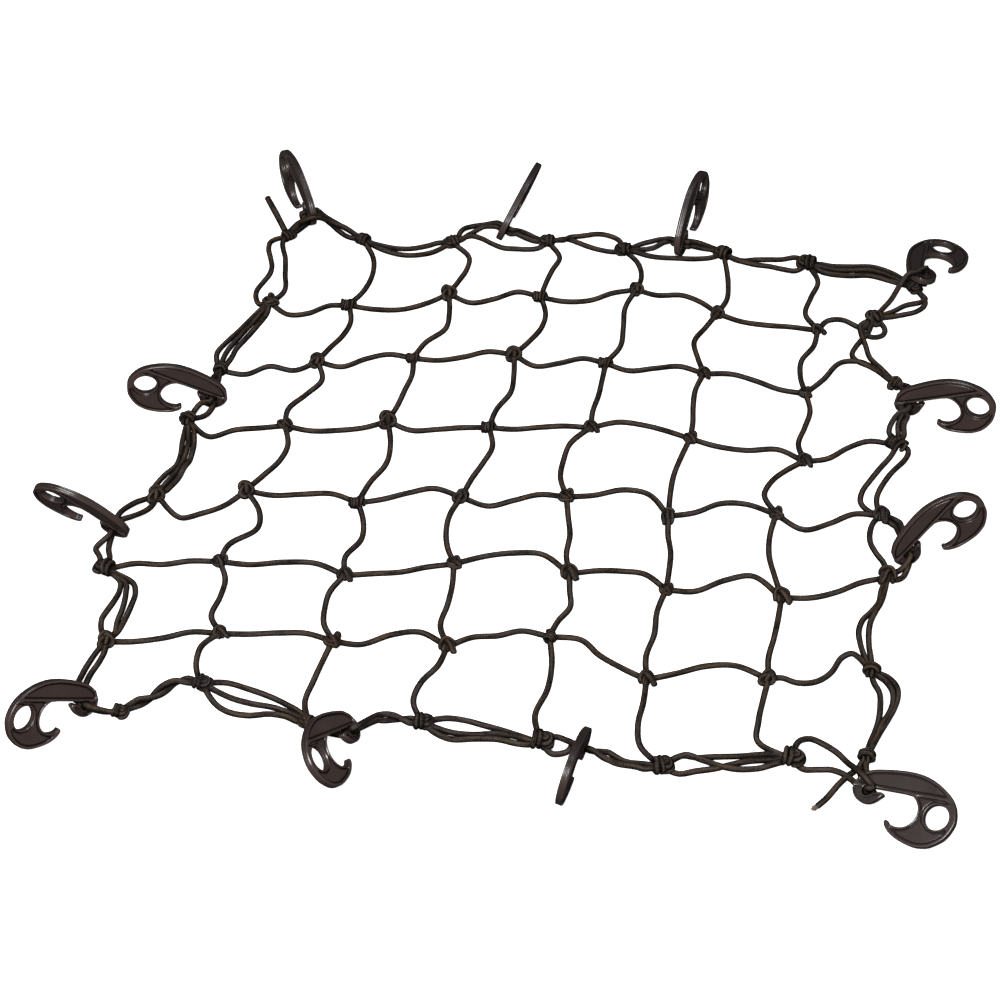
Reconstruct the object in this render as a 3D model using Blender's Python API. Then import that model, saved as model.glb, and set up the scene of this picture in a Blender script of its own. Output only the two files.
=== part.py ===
"""Cargo net: knotted elastic cord with a doubled border and twelve plastic hooks.

The net lies slack on a flat surface. Seven meshes by seven are knotted from single
cord. A border of two or three cords runs round them through larger knots, and carries
one hook at each corner and two more along each side. The surface is z = 0.

Tables and sizes are in millimetres, and the model is in metres.
X runs along the net's rows and Y runs towards its back edge. The tables are measured
from the middle of the seven by seven meshes, and MIDDLE moves the whole net so that the
middle of its bounding box stands on the origin.
"""

import math

import bmesh
import bpy
from mathutils import Euler, Matrix, Vector

MM = 0.001
NAME = "cargo_net"

# ---------------------------------------------------------------- driving sizes
CORD = 4.6                 # diameter of the elastic cord
PAIR = 6.6                 # two cords lying twisted together, as one strand
MIDDLE = (-6.343, -2.443, 0.0)   # middle of the net and its hooks, on the surface
GAP = 0.4                  # clearance between pieces that touch

KNOT_STATIONS = (-6.0, -3.0, 0.0, 3.0, 6.0)        # along a knot's wraps
KNOT_RADII = (3.6, 6.2, 5.4, 6.2, 3.6)             # two wraps and the groove between
KNOT_HEIGHT = 4.6                                  # centre of a knot above the surface
BORDER_KNOT_SCALE = 1.15                           # a border knot ties more cords

HOOK_THICKNESS = 6.6
EYE_RADIUS = 11.05
THROAT_CENTRE = (-33.0, 1.0)
THROAT_RADIUS = 15.2
SHANK_EDGE = 15.5                                  # straight lower edge of the shank
CLIP_CENTRE = (-67.0, 12.0)                        # round seat that holds the cord
CLIP_RADIUS = 4.8
CLIP_BACK_CENTRE = (-67.0, 15.0)
CLIP_BACK_RADIUS = 14.0
BIGHT_RADIUS = 3.15                                # two cords squeezed in the clip's seat
BIGHT_REACH = 7.6                                  # from the hook's middle to the free cord

# ---------------------------------------------------------------- the net's tables
# Knots, a row for each cord from the back edge to the front: (x, y) from left to right.
KNOTS = (
    ((-300, 335), (-220, 338), (-126, 345), (-26, 359), (55, 354), (159, 361), (248, 354), (359, 328)),
    ((-299, 223), (-217, 228), (-118, 260), (-23, 266), (74, 291), (160, 262), (263, 247), (319, 272)),
    ((-328, 109), (-234, 135), (-139, 152), (-39, 170), (54, 168), (153, 164), (255, 146), (344, 171)),
    ((-345, 30), (-249, 34), (-150, 53), (-50, 56), (49, 68), (147, 64), (259, 44), (348, 79)),
    ((-352, -82), (-269, -64), (-160, -68), (-63, -48), (36, -35), (135, -50), (236, -35), (335, -25)),
    ((-378, -188), (-275, -164), (-156, -168), (-58, -140), (50, -140), (141, -150), (247, -147), (343, -108)),
    ((-356, -280), (-256, -257), (-153, -254), (-49, -248), (41, -224), (133, -267), (241, -253), (332, -232)),
    ((-325, -365), (-260, -322), (-157, -358), (-58, -345), (48, -355), (155, -371), (266, -348), (331, -337)),
)
LAST = len(KNOTS) - 1

# Sway of each single cord off the straight line between its two knots, at a quarter,
# a half and three quarters of the way.
# Row cords run left to right and sway towards the back edge: {row: one triple per mesh}.
ROW_SWAY = {
    1: ((-18, -15, -1), (-11, -16, -11), (-13, -5, 8), (-10, -11, -2), (1, 12, 10), (-6, -5, -1), (12, 9, -10)),
    2: ((-9, 0, -10), (-9, 2, 8), (-4, 0, 7), (-14, -6, 5), (-7, 1, 8), (8, 5, -1), (19, 42, 38)),
    3: ((-22, -10, -5), (-9, -10, -8), (-11, -7, -2), (-2, 1, 3), (13, 13, 8), (-3, 0, 10), (-1, 9, 13)),
    4: ((-32, -28, -19), (-2, 4, 9), (4, 11, 15), (-12, -4, 4), (10, 25, 25), (5, 17, 15), (-20, -11, 3)),
    5: ((6, 2, 4), (1, 9, 12), (-1, -3, 0), (14, 22, 23), (10, 15, 16), (1, 18, 26), (-7, -6, 0)),
    6: ((-2, 0, 5), (2, 6, 8), (-2, 12, 17), (9, 8, 11), (12, 4, 1), (8, 17, 17), (-6, -5, 16)),
}
# Column cords run back to front and sway towards the right: {column: one triple per mesh}.
COLUMN_SWAY = {
    1: ((14, 17, 12), (10, 10, 4), (13, 5, -5), (13, 14, 7), (19, 23, 3), (5, 0, -8), (-12, -13, -9)),
    2: ((18, 17, 9), (10, 15, 3), (5, 4, 3), (10, 13, 4), (8, 9, -3), (-11, -13, -11), (-4, -7, -9)),
    3: ((14, 8, 3), (12, 14, 8), (6, 9, 1), (10, 7, 2), (-9, -11, -8), (0, -3, -8), (-3, -13, -14)),
    4: ((9, 11, 8), (-4, 2, 7), (0, 0, -2), (-14, -15, -12), (1, 2, -2), (5, 10, 3), (4, 2, -7)),
    5: ((5, 8, 8), (-9, -17, -10), (-5, -4, -1), (-4, -6, -4), (0, 3, 2), (-4, -2, -5), (-6, -14, -15)),
    6: ((8, -2, -10), (-1, -10, -8), (5, 0, -6), (-13, -20, -19), (-7, -9, -5), (0, -1, -3), (-10, -19, -24)),
}

# Hooks: name, middle of the eye (x, y, z), then turn about Z, rise of the head and roll
# about the shank, in degrees.
HOOKS = (
    ("hook_back_1", (-314, 415, 35.8), (120, 25, 92)),
    ("hook_back_2", (-51, 425, 37.7), (65, 31, 113)),
    ("hook_back_3", (129, 422, 44.1), (77, 38, 85)),
    ("hook_back_4", (387, 394, 7.1), (85, -10, 5)),
    ("hook_right_1", (422, 110, 35.3), (-9, 23, 85)),
    ("hook_right_2", (408, -67, 59.0), (21, 53, 80)),
    ("hook_front_4", (391, -418, 23.8), (-21, 15, 32)),
    ("hook_front_3", (78, -425, 41.0), (-95, 35, 80)),
    ("hook_front_2", (-135, -430, 38.9), (-113, 31, 134)),
    ("hook_front_1", (-396, -415, 40.2), (-133, 34, 105)),
    ("hook_left_2", (-432, -148, 56.0), (-165, 48, 55)),
    ("hook_left_1", (-387, 40, 38.1), (-166, 31, 89)),
)

# Border strands, clockwise from the back left corner: start, points on the way (x, y),
# end, strand diameter and lift off the surface. A start or an end is a knot's
# (row, column), or the name of the hook whose clip it runs into.
BORDER = (
    ((0, 0), ((-297, 347),), "hook_back_1", PAIR, 0.0),
    ("hook_back_1", ((-264, 375), (-247, 362), (-230, 348)), (0, 1), CORD, 0.0),
    ("hook_back_1", ((-262, 364), (-247, 350), (-232, 340)), (0, 1), CORD, 0.5),
    ((0, 1), ((-200, 329), (-177, 326), (-154, 334)), (0, 2), PAIR, 0.0),
    ((0, 2), ((-117, 365), (-106, 375), (-95, 379)), "hook_back_2", PAIR, 0.0),
    ("hook_back_2", ((-62, 372), (-49, 367), (-38, 364)), (0, 3), PAIR, 0.0),
    ((0, 2), ((-109, 360), (-96, 357), (-84, 349), (-72, 345), (-57, 345), (-42, 346)), (0, 3), CORD, 0.4),
    ((0, 3), ((-12, 366), (-3, 370), (11, 372)), (0, 4), PAIR, 0.0),
    ((0, 3), ((0, 372), (24, 378), (42, 374)), (0, 4), CORD, 0.7),
    ((0, 4), ((79, 368), (92, 376)), "hook_back_3", PAIR, 0.0),
    ("hook_back_3", ((127, 376), (140, 373), (150, 370)), (0, 5), PAIR, 0.0),
    ((0, 4), ((79, 350), (92, 348), (112, 349), (129, 350), (145, 353)), (0, 5), CORD, 0.4),
    ((0, 5), ((176, 353), (190, 355), (204, 358), (222, 361), (238, 366)), (0, 6), CORD, 0.0),
    ((0, 5), ((178, 350), (193, 347), (212, 346), (230, 341)), (0, 6), CORD, 0.5),
    ((0, 6), ((274, 355), (294, 357), (314, 359), (334, 352)), (0, 7), PAIR, 0.0),
    ((0, 6), ((275, 341), (293, 341), (312, 344), (328, 339)), (0, 7), CORD, 0.5),
    ((0, 7), ((351, 350),), "hook_back_4", PAIR, 0.0),
    ("hook_back_4", ((351, 345), (343, 325), (335, 304)), (1, 7), CORD, 0.0),
    ((0, 7), ((370, 317), (366, 300), (352, 286), (336, 277)), (1, 7), PAIR, 0.3),
    ((1, 7), ((306, 256), (308, 241), (312, 225), (316, 208), (328, 193)), (2, 7), CORD, 0.0),
    ((1, 7), ((313, 250), (307, 236), (301, 222), (301, 208), (314, 198), (328, 189)), (2, 7), CORD, 0.5),
    ((2, 7), ((350, 160),), "hook_right_1", PAIR, 0.0),
    ("hook_right_1", ((343, 115), (339, 101), (342, 90)), (3, 7), CORD, 0.0),
    ("hook_right_1", ((352, 113), (352, 99), (350, 88)), (3, 7), PAIR, 0.4),
    ((3, 7), ((335, 49), (324, 27), (316, 9), (317, -9)), (4, 7), CORD, 0.0),
    ((3, 7), ((357, 61), (345, 39), (334, 17), (331, -3)), (4, 7), CORD, 0.5),
    ((4, 7), ((326, -44), (326, -62), (332, -76), (338, -88)), (5, 7), CORD, 0.0),
    ((4, 7), ((345, -33), (353, -48)), "hook_right_2", CORD, 0.5),
    ("hook_right_2", ((358, -98),), (5, 7), PAIR, 0.0),
    ((5, 7), ((337, -144), (327, -160), (320, -181), (322, -200), (326, -215)), (6, 7), CORD, 0.0),
    ((5, 7), ((337, -146), (331, -162), (328, -180), (329, -201), (330, -216)), (6, 7), CORD, 0.5),
    ((6, 7), ((339, -256), (341, -275), (339, -295), (334, -318)), (7, 7), CORD, 0.0),
    ((6, 7), ((346, -239), (354, -257), (353, -275), (347, -296), (338, -320)), (7, 7), PAIR, 0.4),
    ((7, 7), ((326, -352),), "hook_front_4", PAIR, 0.0),
    ("hook_front_4", ((316, -346), (306, -335), (293, -327), (281, -321), (271, -327)), (7, 6), CORD, 0.6),
    ("hook_front_4", ((308, -357), (293, -355), (278, -356)), (7, 6), CORD, 0.0),
    ((7, 6), ((238, -347), (220, -353), (201, -354), (180, -356)), (7, 5), PAIR, 0.0),
    ((7, 6), ((238, -360), (218, -364), (200, -368), (180, -374)), (7, 5), CORD, 0.5),
    ((7, 5), ((140, -373), (123, -371), (106, -364)), "hook_front_3", PAIR, 0.0),
    ("hook_front_3", ((70, -346), (60, -344)), (7, 4), CORD, 0.0),
    ("hook_front_3", ((71, -364), (59, -366)), (7, 4), CORD, 0.5),
    ((7, 4), ((27, -347), (10, -342), (-10, -339), (-30, -336), (-45, -337)), (7, 3), CORD, 0.0),
    ((7, 4), ((30, -357), (10, -354), (-10, -356), (-30, -357), (-45, -354)), (7, 3), PAIR, 0.4),
    ((7, 3), ((-70, -345), (-84, -343), (-98, -345)), "hook_front_2", PAIR, 0.0),
    ("hook_front_2", ((-140, -366),), (7, 2), PAIR, 0.0),
    ((7, 2), ((-179, -337), (-200, -328), (-222, -321), (-242, -317)), (7, 1), CORD, 0.0),
    ((7, 2), ((-177, -346), (-201, -341), (-230, -336)), (7, 1), CORD, 0.9),
    ((7, 2), ((-177, -352), (-194, -352), (-212, -354), (-230, -352), (-245, -342)), (7, 1), CORD, 0.5),
    ((7, 1), ((-277, -322), (-290, -333), (-302, -350)), (7, 0), PAIR, 0.0),
    ((7, 0), ((-336, -365),), "hook_front_1", PAIR, 0.0),
    ("hook_front_1", ((-368, -340), (-367, -318), (-363, -300)), (6, 0), CORD, 0.0),
    ("hook_front_1", ((-362, -340), (-360, -320), (-356, -300)), (6, 0), CORD, 0.5),
    ((6, 0), ((-366, -256), (-364, -240), (-360, -222), (-361, -205)), (5, 0), CORD, 0.0),
    ((6, 0), ((-348, -262), (-347, -242), (-347, -222), (-353, -203)), (5, 0), PAIR, 0.4),
    ((5, 0), ((-387, -173), (-391, -160)), "hook_left_2", CORD, 0.0),
    ((5, 0), ((-379, -173), (-381, -160)), "hook_left_2", CORD, 0.5),
    ("hook_left_2", ((-377, -110), (-367, -92)), (4, 0), CORD, 0.0),
    ("hook_left_2", ((-367, -112), (-357, -96)), (4, 0), CORD, 0.5),
    ((4, 0), ((-356, -64), (-346, -42), (-343, -20), (-345, 6)), (3, 0), CORD, 0.0),
    ((4, 0), ((-342, -60), (-337, -38), (-334, -14), (-337, 12)), (3, 0), PAIR, 0.4),
    ((3, 0), ((-334, 42),), "hook_left_1", PAIR, 0.0),
    ("hook_left_1", ((-329, 78), (-329, 94)), (2, 0), PAIR, 0.0),
    ((2, 0), ((-337, 134), (-331, 154), (-321, 176), (-311, 200)), (1, 0), CORD, 0.0),
    ((2, 0), ((-322, 130), (-319, 150), (-312, 172), (-304, 198)), (1, 0), PAIR, 0.4),
    ((1, 0), ((-313, 232), (-315, 250), (-307, 280), (-314, 302), (-317, 322)), (0, 0), CORD, 0.0),
    ((1, 0), ((-290, 238), (-289, 256), (-294, 284), (-300, 308), (-305, 326)), (0, 0), CORD, 0.5),
)

# Short cords off the border: the knot that they leave and points on the way (x, y).
# Two are free ends, and the one at (1, 7) is a slack loop that meets the border again.
TAILS = (
    ((1, 7), ((328, 264), (331, 255), (326, 246), (318, 244), (309, 247))),
    ((0, 0), ((-312, 358), (-323, 379), (-334, 399))),
    ((7, 7), ((316, -360), (308, -372), (298, -388), (289, -401))),
)

# Outline of a hook's back and head, from its heel to its tip: along the shank, up.
HOOK_BACK = (
    (-76.0, 25.3), (-60.0, 32.4), (-43.0, 34.5), (-27.0, 35.0), (-12.5, 32.0), (4.5, 22.8),
    (14.0, 12.0), (17.3, -1.6), (12.5, -14.5), (3.0, -23.7), (-10.0, -28.2), (-24.0, -26.6),
    (-37.2, -21.5), (-45.2, -12.7), (-43.0, -9.8),
)
CLIP_TIP = ((-54.4, 12.9), (-51.2, 10.5))

COLOURS = {"cord": (0.012, 0.010, 0.009), "hook": (0.030, 0.024, 0.023)}
ROUGHNESS = {"cord": 0.85, "hook": 0.42}

SQUARE = math.sqrt(math.pi / 2)       # a square strand with a round cord's section
STRAND_SPANS = 5                      # straight pieces in a single cord
FLAT_SQUARE = math.radians(45)        # tilts that lay a section's flat side down
FLAT_HEXAGON = math.radians(30)


# ---------------------------------------------------------------- helpers
def clear_scene():
    for old in list(bpy.data.objects):
        bpy.data.objects.remove(old)


def new_collection(name, parent):
    collection = bpy.data.collections.new(name)
    parent.children.link(collection)
    return collection


def new_material(name):
    material = bpy.data.materials.new(name)
    material.use_nodes = True
    shader = material.node_tree.nodes["Principled BSDF"]
    shader.inputs["Base Color"].default_value = (*COLOURS[name], 1.0)
    shader.inputs["Roughness"].default_value = ROUGHNESS[name]
    return material


def in_place(point):
    """A point of the tables, in the model's metres."""
    return (point - Vector(MIDDLE)) * MM


def spline_point(points, u):
    """Point at u spans along a smooth curve through the given points."""
    last = len(points) - 1
    i = min(int(u), last - 1)
    t = u - i
    p1, p2 = points[i], points[i + 1]
    p0 = points[i - 1] if i > 0 else p1 + (p1 - p2)
    p3 = points[i + 2] if i + 2 <= last else p2 + (p2 - p1)
    ahead, behind = (p2 - p0) / 2, (p3 - p1) / 2
    return (p1 * (2 * t**3 - 3 * t**2 + 1) + ahead * (t**3 - 2 * t**2 + t)
            + p2 * (3 * t**2 - 2 * t**3) + behind * (t**3 - t**2))


def smooth(points, spans):
    """The curve through the points, as a run of that many straight spans."""
    last = len(points) - 1
    return [spline_point(points, last * k / spans) for k in range(spans + 1)]


def new_tubes(name, resolution):
    """An empty curve whose splines become capped tubes of 4 + 2 * resolution sides."""
    curve = bpy.data.curves.new(name, "CURVE")
    curve.dimensions = "3D"
    curve.twist_mode = "Z_UP"
    curve.bevel_depth = MM
    curve.bevel_resolution = resolution
    curve.use_fill_caps = True
    return curve


def add_tube(curve, points, radii, tilt):
    """A tube along the points, with a radius in mm at each."""
    spline = curve.splines.new("POLY")
    spline.points.add(len(points) - 1)
    for target, point, radius in zip(spline.points, points, radii):
        target.co = (*in_place(point), 1.0)
        target.radius = radius
        target.tilt = tilt


def solid_from_curve(curve, name, collection, floor=None):
    """The curve as a mesh object of closed bodies, none of it under the floor."""
    holder = bpy.data.objects.new(name + "_curve", curve)
    collection.objects.link(holder)
    depsgraph = bpy.context.evaluated_depsgraph_get()
    mesh = bpy.data.meshes.new_from_object(holder.evaluated_get(depsgraph))
    bpy.data.objects.remove(holder)
    body = bmesh.new()
    body.from_mesh(mesh)
    bmesh.ops.remove_doubles(body, verts=body.verts, dist=0.00002)
    if floor is not None:
        for vert in body.verts:
            vert.co.z = max(vert.co.z, floor * MM)
    bmesh.ops.recalc_face_normals(body, faces=body.faces)
    body.to_mesh(mesh)
    body.free()
    mesh.name = name
    solid = bpy.data.objects.new(name, mesh)
    collection.objects.link(solid)
    return solid


def hide_tool(tool):
    tool.hide_render = True
    tool.display_type = "WIRE"


def add_boolean(target, operation, other):
    modifier = target.modifiers.new(operation.lower(), "BOOLEAN")
    modifier.operation = operation
    modifier.object = other
    modifier.solver = "EXACT"
    modifier.use_self = True


def keep_largest_body(target):
    """Applies the object's Booleans, and drops the crumbs that they leave."""
    depsgraph = bpy.context.evaluated_depsgraph_get()
    mesh = bpy.data.meshes.new_from_object(target.evaluated_get(depsgraph))
    body = bmesh.new()
    body.from_mesh(mesh)
    bmesh.ops.triangulate(body, faces=body.faces)
    bmesh.ops.remove_doubles(body, verts=body.verts, dist=0.004 * MM)
    bmesh.ops.dissolve_degenerate(body, edges=body.edges, dist=0.004 * MM)
    left, groups = set(body.faces), []
    while left:
        group = [left.pop()]
        for face in group:
            for edge in face.edges:
                for other in edge.link_faces:
                    if len(edge.link_faces) == 2 and other in left:
                        left.remove(other)
                        group.append(other)
        groups.append(group)
    groups.sort(key=len)
    for crumb in groups[:-1]:
        bmesh.ops.delete(body, geom=crumb, context="FACES")
    body.to_mesh(mesh)
    body.free()
    target.modifiers.clear()
    target.data = mesh


# ---------------------------------------------------------------- knots and strands
def is_border(row, column):
    return row in (0, LAST) or column in (0, LAST)


def knot_centre(row, column):
    scale = BORDER_KNOT_SCALE if is_border(row, column) else 1.0
    return Vector((*KNOTS[row][column], KNOT_HEIGHT * scale))


def knot_direction(row, column):
    """The way along a knot's wraps: round the border's cords, or slanting over a crossing."""
    if not is_border(row, column):
        slant = math.radians(-38 + 9 * ((3 * row + 5 * column) % 5 - 2))
        return Vector((math.cos(slant), math.sin(slant), 0))
    along_x = row in (0, LAST)
    turn = math.radians(12 * ((row + 2 * column) % 3 - 1))
    base = Vector((1, 0, 0)) if along_x else Vector((0, 1, 0))
    return Matrix.Rotation(turn, 3, "Z") @ base


def add_knot(curve, row, column, grow):
    scale = BORDER_KNOT_SCALE if is_border(row, column) else 1.0
    centre, direction = knot_centre(row, column), knot_direction(row, column)
    ends = [math.copysign(grow, s) if abs(s) == KNOT_STATIONS[-1] else 0 for s in KNOT_STATIONS]
    points = [centre + direction * (s * scale + e) for s, e in zip(KNOT_STATIONS, ends)]
    radii = [r * scale + 1.2 * grow for r in KNOT_RADII]
    add_tube(curve, points, radii, FLAT_HEXAGON)


def flat_radius(diameter):
    """Height of a flat-bottomed square strand's centre over its underside."""
    return SQUARE * diameter / 2 * math.cos(FLAT_SQUARE)


def add_strand(curve, points, diameter, spans, grow=0.0):
    route = smooth(points, spans)
    add_tube(curve, route, [SQUARE * diameter / 2 + 1.4 * grow] * len(route), FLAT_SQUARE)


def single_cord(start, end, sway):
    """Points of a cord between two knots, off their straight line by the sway."""
    a, b = knot_centre(*start), knot_centre(*end)
    run = (b - a).normalized()
    side = Vector((-run.y, run.x, 0))
    points = [a]
    for part, offset in zip((0.25, 0.5, 0.75), sway):
        point = a.lerp(b, part) + side * offset
        point.z = flat_radius(CORD)
        points.append(point)
    return points + [b]


# ---------------------------------------------------------------- hooks
def arc(centre, radius, start, end, count):
    """Points on an arc, from one angle to another, in degrees."""
    angles = [math.radians(start + (end - start) * k / (count - 1)) for k in range(count)]
    return [(centre[0] + radius * math.cos(a), centre[1] + radius * math.sin(a)) for a in angles]


def hook_outline():
    throat = arc(THROAT_CENTRE, THROAT_RADIUS, -122, 66, 8)
    seat = arc(CLIP_CENTRE, CLIP_RADIUS, 47, 335, 7)
    clip_back = arc(CLIP_BACK_CENTRE, CLIP_BACK_RADIUS, -42, -190, 6)
    return list(HOOK_BACK) + throat + [(-58.0, SHANK_EDGE)] + seat + list(CLIP_TIP) + clip_back


def hook_mesh():
    """A hook lying in its own XY plane, the middle of its eye at the origin."""
    curve = bpy.data.curves.new("hook_profile", "CURVE")
    curve.dimensions = "2D"
    curve.fill_mode = "BOTH"
    curve.extrude = HOOK_THICKNESS / 2 * MM
    eye = arc((0, 0), EYE_RADIUS, 0, 360, 10)[:-1]
    for outline in (hook_outline(), eye):
        spline = curve.splines.new("POLY")
        spline.points.add(len(outline) - 1)
        for target, (u, v) in zip(spline.points, outline):
            target.co = (u * MM, v * MM, 0, 1)
        spline.use_cyclic_u = True
    return curve


def hook_matrix(eye, angles):
    turn, rise, roll = (math.radians(a) for a in angles)
    spin = Matrix.Rotation(turn, 4, "Z") @ Matrix.Rotation(-rise, 4, "Y") @ Matrix.Rotation(roll, 4, "X")
    return Matrix.Translation(Vector(eye)) @ spin


HOOK_PLACES = {name: hook_matrix(eye, angles) for name, eye, angles in HOOKS}


def clip_side(name, towards):
    """Where a cord meets a hook's clip, on the side that faces the given point."""
    place = HOOK_PLACES[name]
    seat = place @ Vector((*CLIP_CENTRE, 0))
    across = place.to_3x3() @ Vector((0, 0, 1))
    side = 1 if (towards - seat).dot(across) > 0 else -1
    return seat + across * (side * BIGHT_REACH)


# ---------------------------------------------------------------- the pieces
def strand_end(end, towards):
    return clip_side(end, towards) if isinstance(end, str) else knot_centre(*end)


def add_border_strand(curve, start, via, end, diameter, lift, grow):
    height = flat_radius(diameter) + lift
    middle = [Vector((x, y, height)) for x, y in via]
    points = [strand_end(start, middle[0])] + middle + [strand_end(end, middle[-1])]
    add_strand(curve, points, diameter, max(3, len(points) - 1), grow)


def border_curves(grow=0.0):
    """Strands and knots of the border, fatter all over by the given growth."""
    strands, knots = new_tubes("border_strands", 0), new_tubes("border_knots", 1)
    for start, via, end, diameter, lift in BORDER:
        add_border_strand(strands, start, via, end, diameter, lift, grow)
    for knot, via in TAILS:
        points = [knot_centre(*knot)] + [Vector((x, y, flat_radius(CORD))) for x, y in via]
        add_strand(strands, points, CORD, len(via), grow)
    for name, place in HOOK_PLACES.items():
        seat = place @ Vector((*CLIP_CENTRE, 0))
        across = place.to_3x3() @ Vector((0, 0, 1))
        bight = [seat - across * BIGHT_REACH, seat + across * BIGHT_REACH]
        add_tube(strands, bight, [SQUARE * BIGHT_RADIUS] * 2, FLAT_SQUARE)
    for row in range(LAST + 1):
        for column in range(LAST + 1):
            if is_border(row, column):
                add_knot(knots, row, column, grow)
    return strands, knots


def build_border(tools, collection, name, grow=0.0, floor=0.0):
    strands, knots = border_curves(grow)
    cords = solid_from_curve(strands, name + "_cords", tools, floor)
    hide_tool(cords)
    border = solid_from_curve(knots, name, collection, floor)
    add_boolean(border, "UNION", cords)
    keep_largest_body(border)
    return border


def build_mesh(tools, collection):
    strands, knots = new_tubes("mesh_strands", 0), new_tubes("mesh_knots", 1)
    for row, sways in ROW_SWAY.items():
        for column, sway in enumerate(sways):
            route = single_cord((row, column), (row, column + 1), sway)
            add_strand(strands, route, CORD, STRAND_SPANS)
    for column, sways in COLUMN_SWAY.items():
        for row, sway in enumerate(sways):
            route = single_cord((row, column), (row + 1, column), sway)
            add_strand(strands, route, CORD, STRAND_SPANS)
    for row in range(1, LAST):
        for column in range(1, LAST):
            add_knot(knots, row, column, 0.0)
    cords = solid_from_curve(strands, "mesh_cords", tools, 0.0)
    hide_tool(cords)
    mesh = solid_from_curve(knots, "mesh", collection, 0.0)
    add_boolean(mesh, "UNION", cords)
    clearance = build_border(tools, tools, "border_clearance", GAP, -2.0)
    hide_tool(clearance)
    add_boolean(mesh, "DIFFERENCE", clearance)
    keep_largest_body(mesh)
    return mesh


def build_hooks(collection, material):
    profile = hook_mesh()
    pattern = solid_from_curve(profile, "hook", collection)
    pattern.data.materials.append(material)
    for name, place in HOOK_PLACES.items():
        hook = bpy.data.objects.new(name, pattern.data)
        collection.objects.link(hook)
        hook.location = in_place(place.to_translation())
        hook.rotation_euler = place.to_euler()
    bpy.data.objects.remove(pattern)


def main():
    clear_scene()
    scene = bpy.context.scene.collection
    collection = new_collection(NAME, scene)
    tools = new_collection("cutters", scene)
    cord, plastic = new_material("cord"), new_material("hook")
    border = build_border(tools, collection, "border")
    mesh = build_mesh(tools, collection)
    for piece in (border, mesh):
        piece.data.materials.append(cord)
    build_hooks(collection, plastic)


main()
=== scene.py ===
import math
import random

import bmesh
import bpy
from bpy.props import FloatProperty, FloatVectorProperty, IntProperty, PointerProperty
from mathutils import Matrix, Vector


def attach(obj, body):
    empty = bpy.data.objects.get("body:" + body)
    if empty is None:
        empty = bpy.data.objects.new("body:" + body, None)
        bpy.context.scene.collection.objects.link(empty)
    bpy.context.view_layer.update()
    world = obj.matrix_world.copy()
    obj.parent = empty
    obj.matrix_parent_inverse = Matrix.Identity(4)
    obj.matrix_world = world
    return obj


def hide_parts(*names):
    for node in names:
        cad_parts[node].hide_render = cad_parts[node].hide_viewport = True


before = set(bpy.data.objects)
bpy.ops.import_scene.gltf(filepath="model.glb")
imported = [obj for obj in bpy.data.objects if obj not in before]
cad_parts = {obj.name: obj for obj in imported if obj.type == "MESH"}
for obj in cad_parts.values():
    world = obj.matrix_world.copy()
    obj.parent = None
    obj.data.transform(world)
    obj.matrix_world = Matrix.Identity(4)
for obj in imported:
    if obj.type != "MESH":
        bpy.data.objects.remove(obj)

bl_info = {
    "name": "Cargo Net",
    "version": (1, 0, 0),
    "blender": (4, 5, 0),
    "location": "View3D > Sidebar > Cargo Net",
    "description": "Knotted elastic cargo net with a doubled border and moulded hooks",
    "category": "Add Mesh",
}

MM = 0.001
MIDDLE = Vector((-6.343, -2.443, 0.0))    # the tables' point that stands on the origin
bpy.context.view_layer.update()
UP = Vector((0, 0, 1))

# ---- tables, in millimetres
# Knots, a row for each cord from the back edge to the front: (x, y) from left to right.
KNOTS = (
    ((-300, 335), (-220, 338), (-126, 345), (-26, 359), (55, 354), (159, 361), (248, 354), (359, 328)),
    ((-299, 223), (-217, 228), (-118, 260), (-23, 266), (74, 291), (160, 262), (263, 247), (319, 272)),
    ((-328, 109), (-234, 135), (-139, 152), (-39, 170), (54, 168), (153, 164), (255, 146), (344, 171)),
    ((-345, 30), (-249, 34), (-150, 53), (-50, 56), (49, 68), (147, 64), (259, 44), (348, 79)),
    ((-352, -82), (-269, -64), (-160, -68), (-63, -48), (36, -35), (135, -50), (236, -35), (335, -25)),
    ((-378, -188), (-275, -164), (-156, -168), (-58, -140), (50, -140), (141, -150), (247, -147),
     (343, -108)),
    ((-356, -280), (-256, -257), (-153, -254), (-49, -248), (41, -224), (133, -267), (241, -253),
     (332, -232)),
    ((-325, -365), (-260, -322), (-157, -358), (-58, -345), (48, -355), (155, -371), (266, -348),
     (331, -337)),
)

# Sway of each single cord off its straight line, at places evenly spaced between its knots:
# at a quarter, a half and three quarters where there are three. Row cords run left to right
# and sway towards the back edge.
ROW_SWAY = {
    1: ((-18, -15, -1), (-11, -16, -11), (-13, -5, 8), (-10, -11, -2), (1, 12, 10), (-6, -5, -1),
        (12, 9, -10)),
    2: ((-9, 0, -10), (-9, 2, 8), (-4, 0, 7), (-14, -6, 5), (-7, 1, 8), (8, 5, -1), (19, 42, 38)),
    3: ((-22, -10, -5), (-9, -10, -8), (-11, -7, -2), (-2, 1, 3), (13, 13, 8), (-3, 0, 10), (-1, 9, 13)),
    4: ((-32, -28, -19), (-2, 4, 9), (4, 11, 15), (-12, -4, 4), (10, 25, 25), (5, 17, 15), (-20, -11, 3)),
    5: ((6, 2, 4), (1, 9, 12), (-1, -3, 0), (14, 22, 23), (10, 15, 16), (1, 18, 26), (-7, -6, 0)),
    6: ((-2, 0, 5), (2, 6, 8), (-2, 12, 17), (9, 8, 11), (12, 4, 1), (8, 17, 17),
        (1, -6, -8, -5, 4, 20, 24)),
}
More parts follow.
